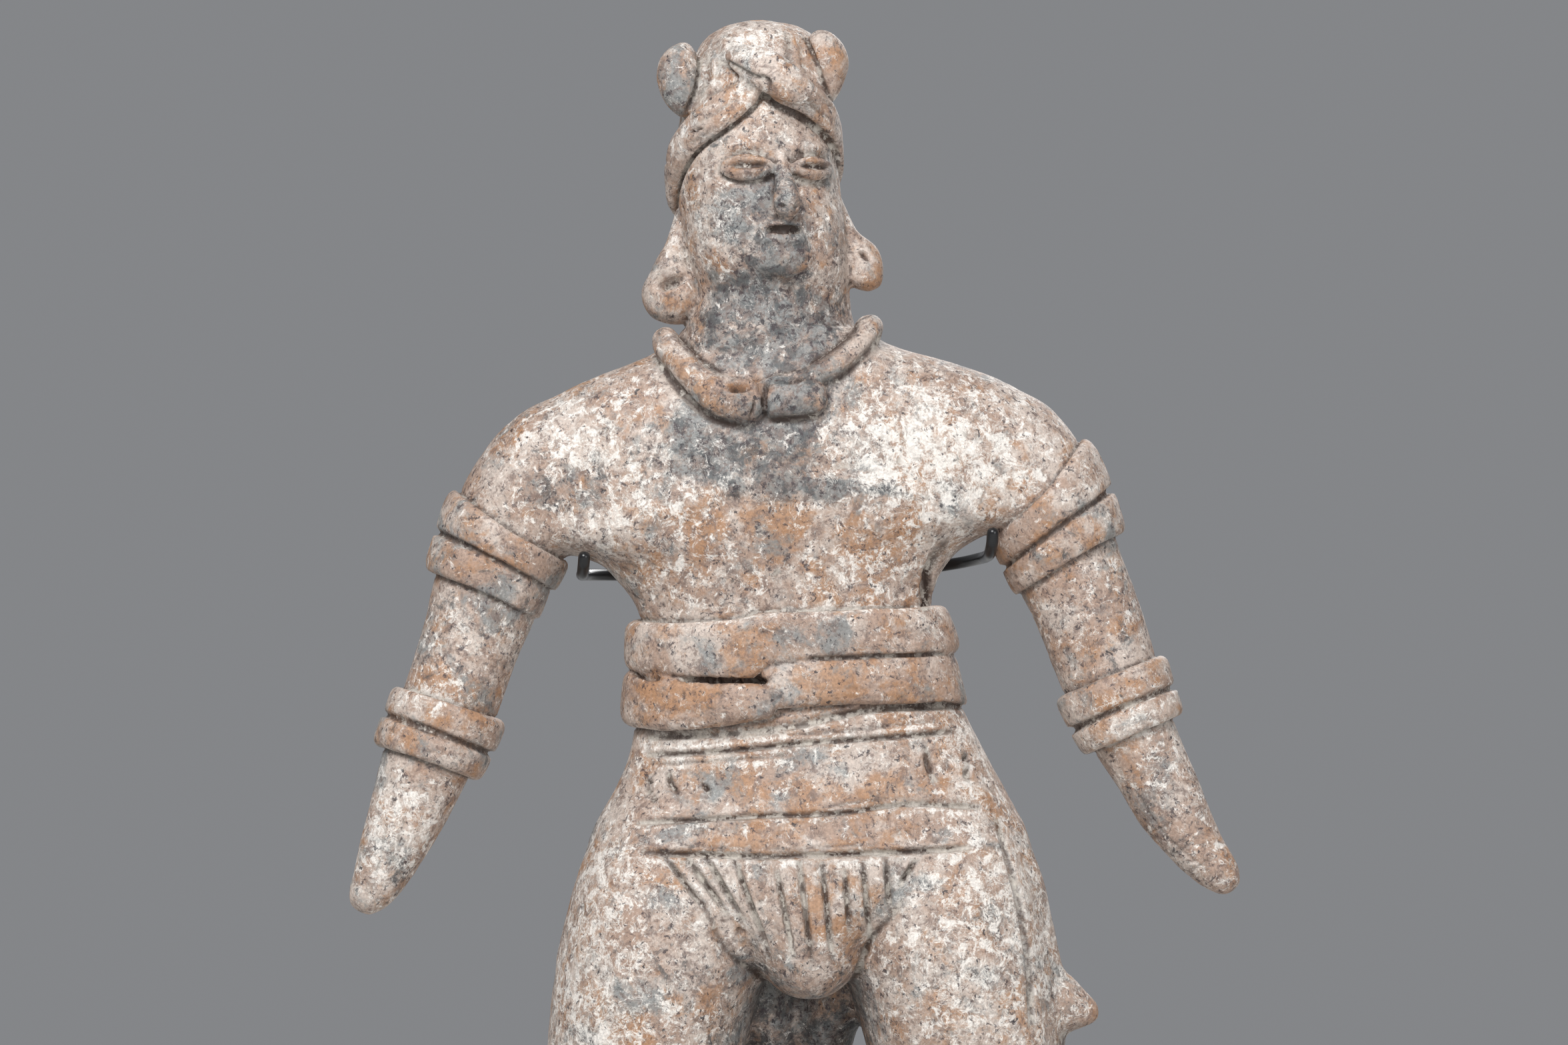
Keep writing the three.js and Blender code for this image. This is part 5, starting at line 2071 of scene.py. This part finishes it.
@dataclass
class Stand:
    """The steel cradle: a plate, a post and a fork of round wire, brazed together and painted."""

    plate: tuple[float, float, float] = (150, 124, 6)
    plate_y: float = 12
    corner: float = 6
    edge: float = 0.8
    post: Rows = (
        (0, 56, 4, 4.4),
        (0, 56, 6.3, 4.4),
        (0, 56, 7.4, 3.6),
        (0, 56, 9.4, 3),
        (0, 56, 208, 3),
        (0, 55.1, 214, 3),
        (0, 42.5, 233, 3),
        (0, 29, 252, 3),
        (0, 26.6, 255, 2.9),
    )
    wire: float = 1.6
    fork: Rows = (
        (-57.4, -21.6, 260),
        (-57.6, -20.6, 258),
        (-58, -16, 255.6),
        (-58.6, -4, 255.2),
        (-57.6, 10, 255),
        (-48, 20.5, 254.8),
        (-28, 23.6, 254.6),
        (0, 24, 254.6),
        (26, 23.6, 255.6),
        (43, 19.5, 258),
        (49.6, 9, 259.6),
        (50, -3, 260),
        (50.6, -16, 261),
        (51, -20.4, 263.6),
        (51.2, -21.4, 266.4),
    )
    sleeve: Rows = ((-7, 24, 254.6), (0, 24, 254.6), (7, 24, 254.8))
    sleeve_radius: float = 2.9
    dome_steps: tuple[float, ...] = (20, 40, 55, 70, 80, 88)
    crisp: float = 40

    def build(self) -> list[bpy.types.Object]:
        """Builds plate, post and fork.

        Returns:
            The three objects, in metres.
        """
        steel = BlackSteel().material()
        return [
            self.add_piece(self.slab(), "cradle_plate", "stand_base_plate", steel),
            self.add_piece(self.upright(), "cradle_post", "stand_post", steel),
            self.add_piece(self.prongs(), "cradle_fork", "stand_fork", steel),
        ]

    def slab(self) -> bmesh.types.BMesh:
        """The plate, with round corners and broken edges.

        Returns:
            Its shape in millimetres.
        """
        mesh = bmesh.new()
        place = Matrix.Translation((0, self.plate_y, self.plate[2] / 2))
        bmesh.ops.create_cube(mesh, size=1, matrix=place @ Matrix.Diagonal((*self.plate, 1)))
        upright = [edge for edge in mesh.edges if abs(edge.verts[0].co.z - edge.verts[1].co.z) > 1]
        self.bevel(mesh, upright, self.corner, 10)
        rim = [edge for edge in mesh.edges if edge.calc_face_angle(0) > 1]
        self.bevel(mesh, rim, self.edge, 3)
        return mesh

    def bevel(
        self, mesh: bmesh.types.BMesh, edges: list[bmesh.types.BMEdge], width: float, segments: int
    ) -> None:
        """Rounds edges.

        Args:
            mesh: the shape.
            edges: its edges to round.
            width: how far the rounding reaches.
            segments: how many facets it has.
        """
        bmesh.ops.bevel(
            mesh,
            geom=edges,
            offset=width,
            offset_type="OFFSET",
            segments=segments,
            profile=0.5,
            affect="EDGES",
            material=-1,
        )

    def upright(self) -> bmesh.types.BMesh:
        """The post, with the braze round its foot.

        Returns:
            Its shape in millimetres.
        """
        heap = Clay()
        heap.add_form(TubeForm([[*row, row[3]] for row in self.post]), sides=32, step=1)
        return heap.mesh

    def prongs(self) -> bmesh.types.BMesh:
        """The fork, with the sleeve that joins it to the post.

        Returns:
            Its shape in millimetres.
        """
        heap = Clay()
        for route, radius, step in ((self.fork, self.wire, 0.4), (self.sleeve, self.sleeve_radius, 0.3)):
            stations = self.domed(route, radius)
            heap.add_form(TubeForm(stations, depth_axis=(0, 0, 1)), sides=20, step=step)
        return heap.mesh

    def domed(self, route: Rows, radius: float) -> list[list[float]]:
        """Stations of a round rod whose ends are domes.

        Args:
            route: points along its middle.
            radius: its radius.

        Returns:
            The stations from end to end.
        """
        points = np.array(route, dtype=float)
        rod = [[*point, radius, radius] for point in points]
        domes = []
        for end, inner in ((0, 1), (-1, -2)):
            ahead = unit(points[end] - points[inner])
            dome = []
            for turn in np.radians(self.dome_steps):
                place = points[end] + ahead * radius * math.sin(turn)
                ring = radius * math.cos(turn)
                dome.append([*place, ring, ring])
            domes.append(dome)
        return [*reversed(domes[0]), *rod, *domes[1]]

    def add_piece(
        self, mesh: bmesh.types.BMesh, name: str, node: str, steel: bpy.types.Material
    ) -> bpy.types.Object:
        """Makes an object that stands for a CAD node.

        Args:
            mesh: its shape in millimetres.
            name: its name.
            node: the CAD node it stands for.
            steel: its material.

        Returns:
            The object.
        """
        bmesh.ops.recalc_face_normals(mesh, faces=mesh.faces)
        data = bpy.data.meshes.new(name)
        mesh.to_mesh(data)
        mesh.free()
        data.transform(Matrix.Scale(MM, 4))
        data.polygons.foreach_set("use_smooth", [True] * len(data.polygons))
        data.set_sharp_from_angle(angle=math.radians(self.crisp))
        data.materials.append(steel)
        piece = bpy.data.objects.new(name, data)
        bpy.context.collection.objects.link(piece)
        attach(piece, "root")
        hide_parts(node)
        return piece


@dataclass(frozen=True)
class Softbox:
    """A soft square light: its name, place and width in millimetres, and its power in watts."""

    name: str
    place: tuple[float, float, float]
    size: float
    power: float


@dataclass
class Studio:
    """Plain pale floor, soft lights and the camera of the photograph."""

    floor_radius: float = 1000
    floor_colour: str = "#c8c8c6"
    air_colour: str = "#c4c6ca"
    air_strength: float = 0.42
    softboxes: Sequence[Softbox] = (
        Softbox("key", (-350, -1150, 1250), 600, 24),
        Softbox("fill", (800, -1100, 500), 700, 5),
        Softbox("back", (500, 1200, 900), 700, 9),
    )
    aim: tuple[float, float, float] = (0, 0, 250)
    camera_place: tuple[float, float, float] = (-4.32, -1350, 269.2)
    lens: float = 114.795
    sensor: float = 36

    def build(self) -> bpy.types.Object:
        """Adds floor, world, lights and camera.

        Returns:
            The floor.
        """
        floor = self.floor()
        self.air()
        for softbox in self.softboxes:
            self.light(softbox)
        bpy.context.scene.view_settings.view_transform = "Standard"
        self.camera()
        return floor

    def floor(self) -> bpy.types.Object:
        """Lays the floor, a plain matt disc.

        Returns:
            The object.
        """
        disc = bmesh.new()
        bmesh.ops.create_circle(disc, cap_ends=True, segments=96, radius=self.floor_radius * MM)
        mesh = bpy.data.meshes.new("floor")
        disc.to_mesh(mesh)
        disc.free()
        floor = bpy.data.objects.new("floor", mesh)
        bpy.context.collection.objects.link(floor)
        graph = Graph("floor")
        shader = graph.add("BsdfPrincipled", {"Base Color": rgb(self.floor_colour), "Roughness": 0.9})
        graph.add("OutputMaterial", {"Surface": shader})
        mesh.materials.append(graph.material)
        return floor

    def air(self) -> None:
        """Lights the figure evenly from all round."""
        world = bpy.data.worlds.new("studio")
        bpy.context.scene.world = world
        world.use_nodes = True
        background = world.node_tree.nodes["Background"]
        background.inputs["Color"].default_value = rgb(self.air_colour)
        background.inputs["Strength"].default_value = self.air_strength

    def camera(self) -> None:
        """Sets up the camera at the photograph's viewing angle."""
        camera = bpy.data.cameras.new("camera")
        camera.lens = self.lens
        camera.sensor_width = self.sensor
        camera.clip_start = 0.01
        rig = bpy.data.objects.new("camera", camera)
        level = Matrix.Rotation(math.pi / 2, 4, "X")
        rig.matrix_world = Matrix.Translation(Vector(self.camera_place) * MM) @ level
        bpy.context.collection.objects.link(rig)
        bpy.context.scene.camera = rig

    def light(self, softbox: Softbox) -> None:
        """Adds a light that looks at the figure.

        Args:
            softbox: its name, place, size and power.
        """
        lamp = bpy.data.lights.new(softbox.name, "AREA")
        lamp.size = softbox.size * MM
        lamp.energy = softbox.power
        where = Vector(softbox.place) * MM
        look = (Vector(self.aim) * MM - where).to_track_quat("-Z", "Y")
        piece = bpy.data.objects.new(softbox.name, lamp)
        piece.matrix_world = Matrix.Translation(where) @ look.to_matrix().to_4x4()
        bpy.context.collection.objects.link(piece)


def main() -> None:
    """Builds figure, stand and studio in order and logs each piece."""
    logging.basicConfig(level=logging.INFO, format="%(name)s: %(message)s")
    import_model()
    for piece in (Figure().build(), *Stand().build(), Studio().build()):
        log.info("%s: %d faces", piece.name, len(piece.data.polygons))


if __name__ == "__main__":
    main()
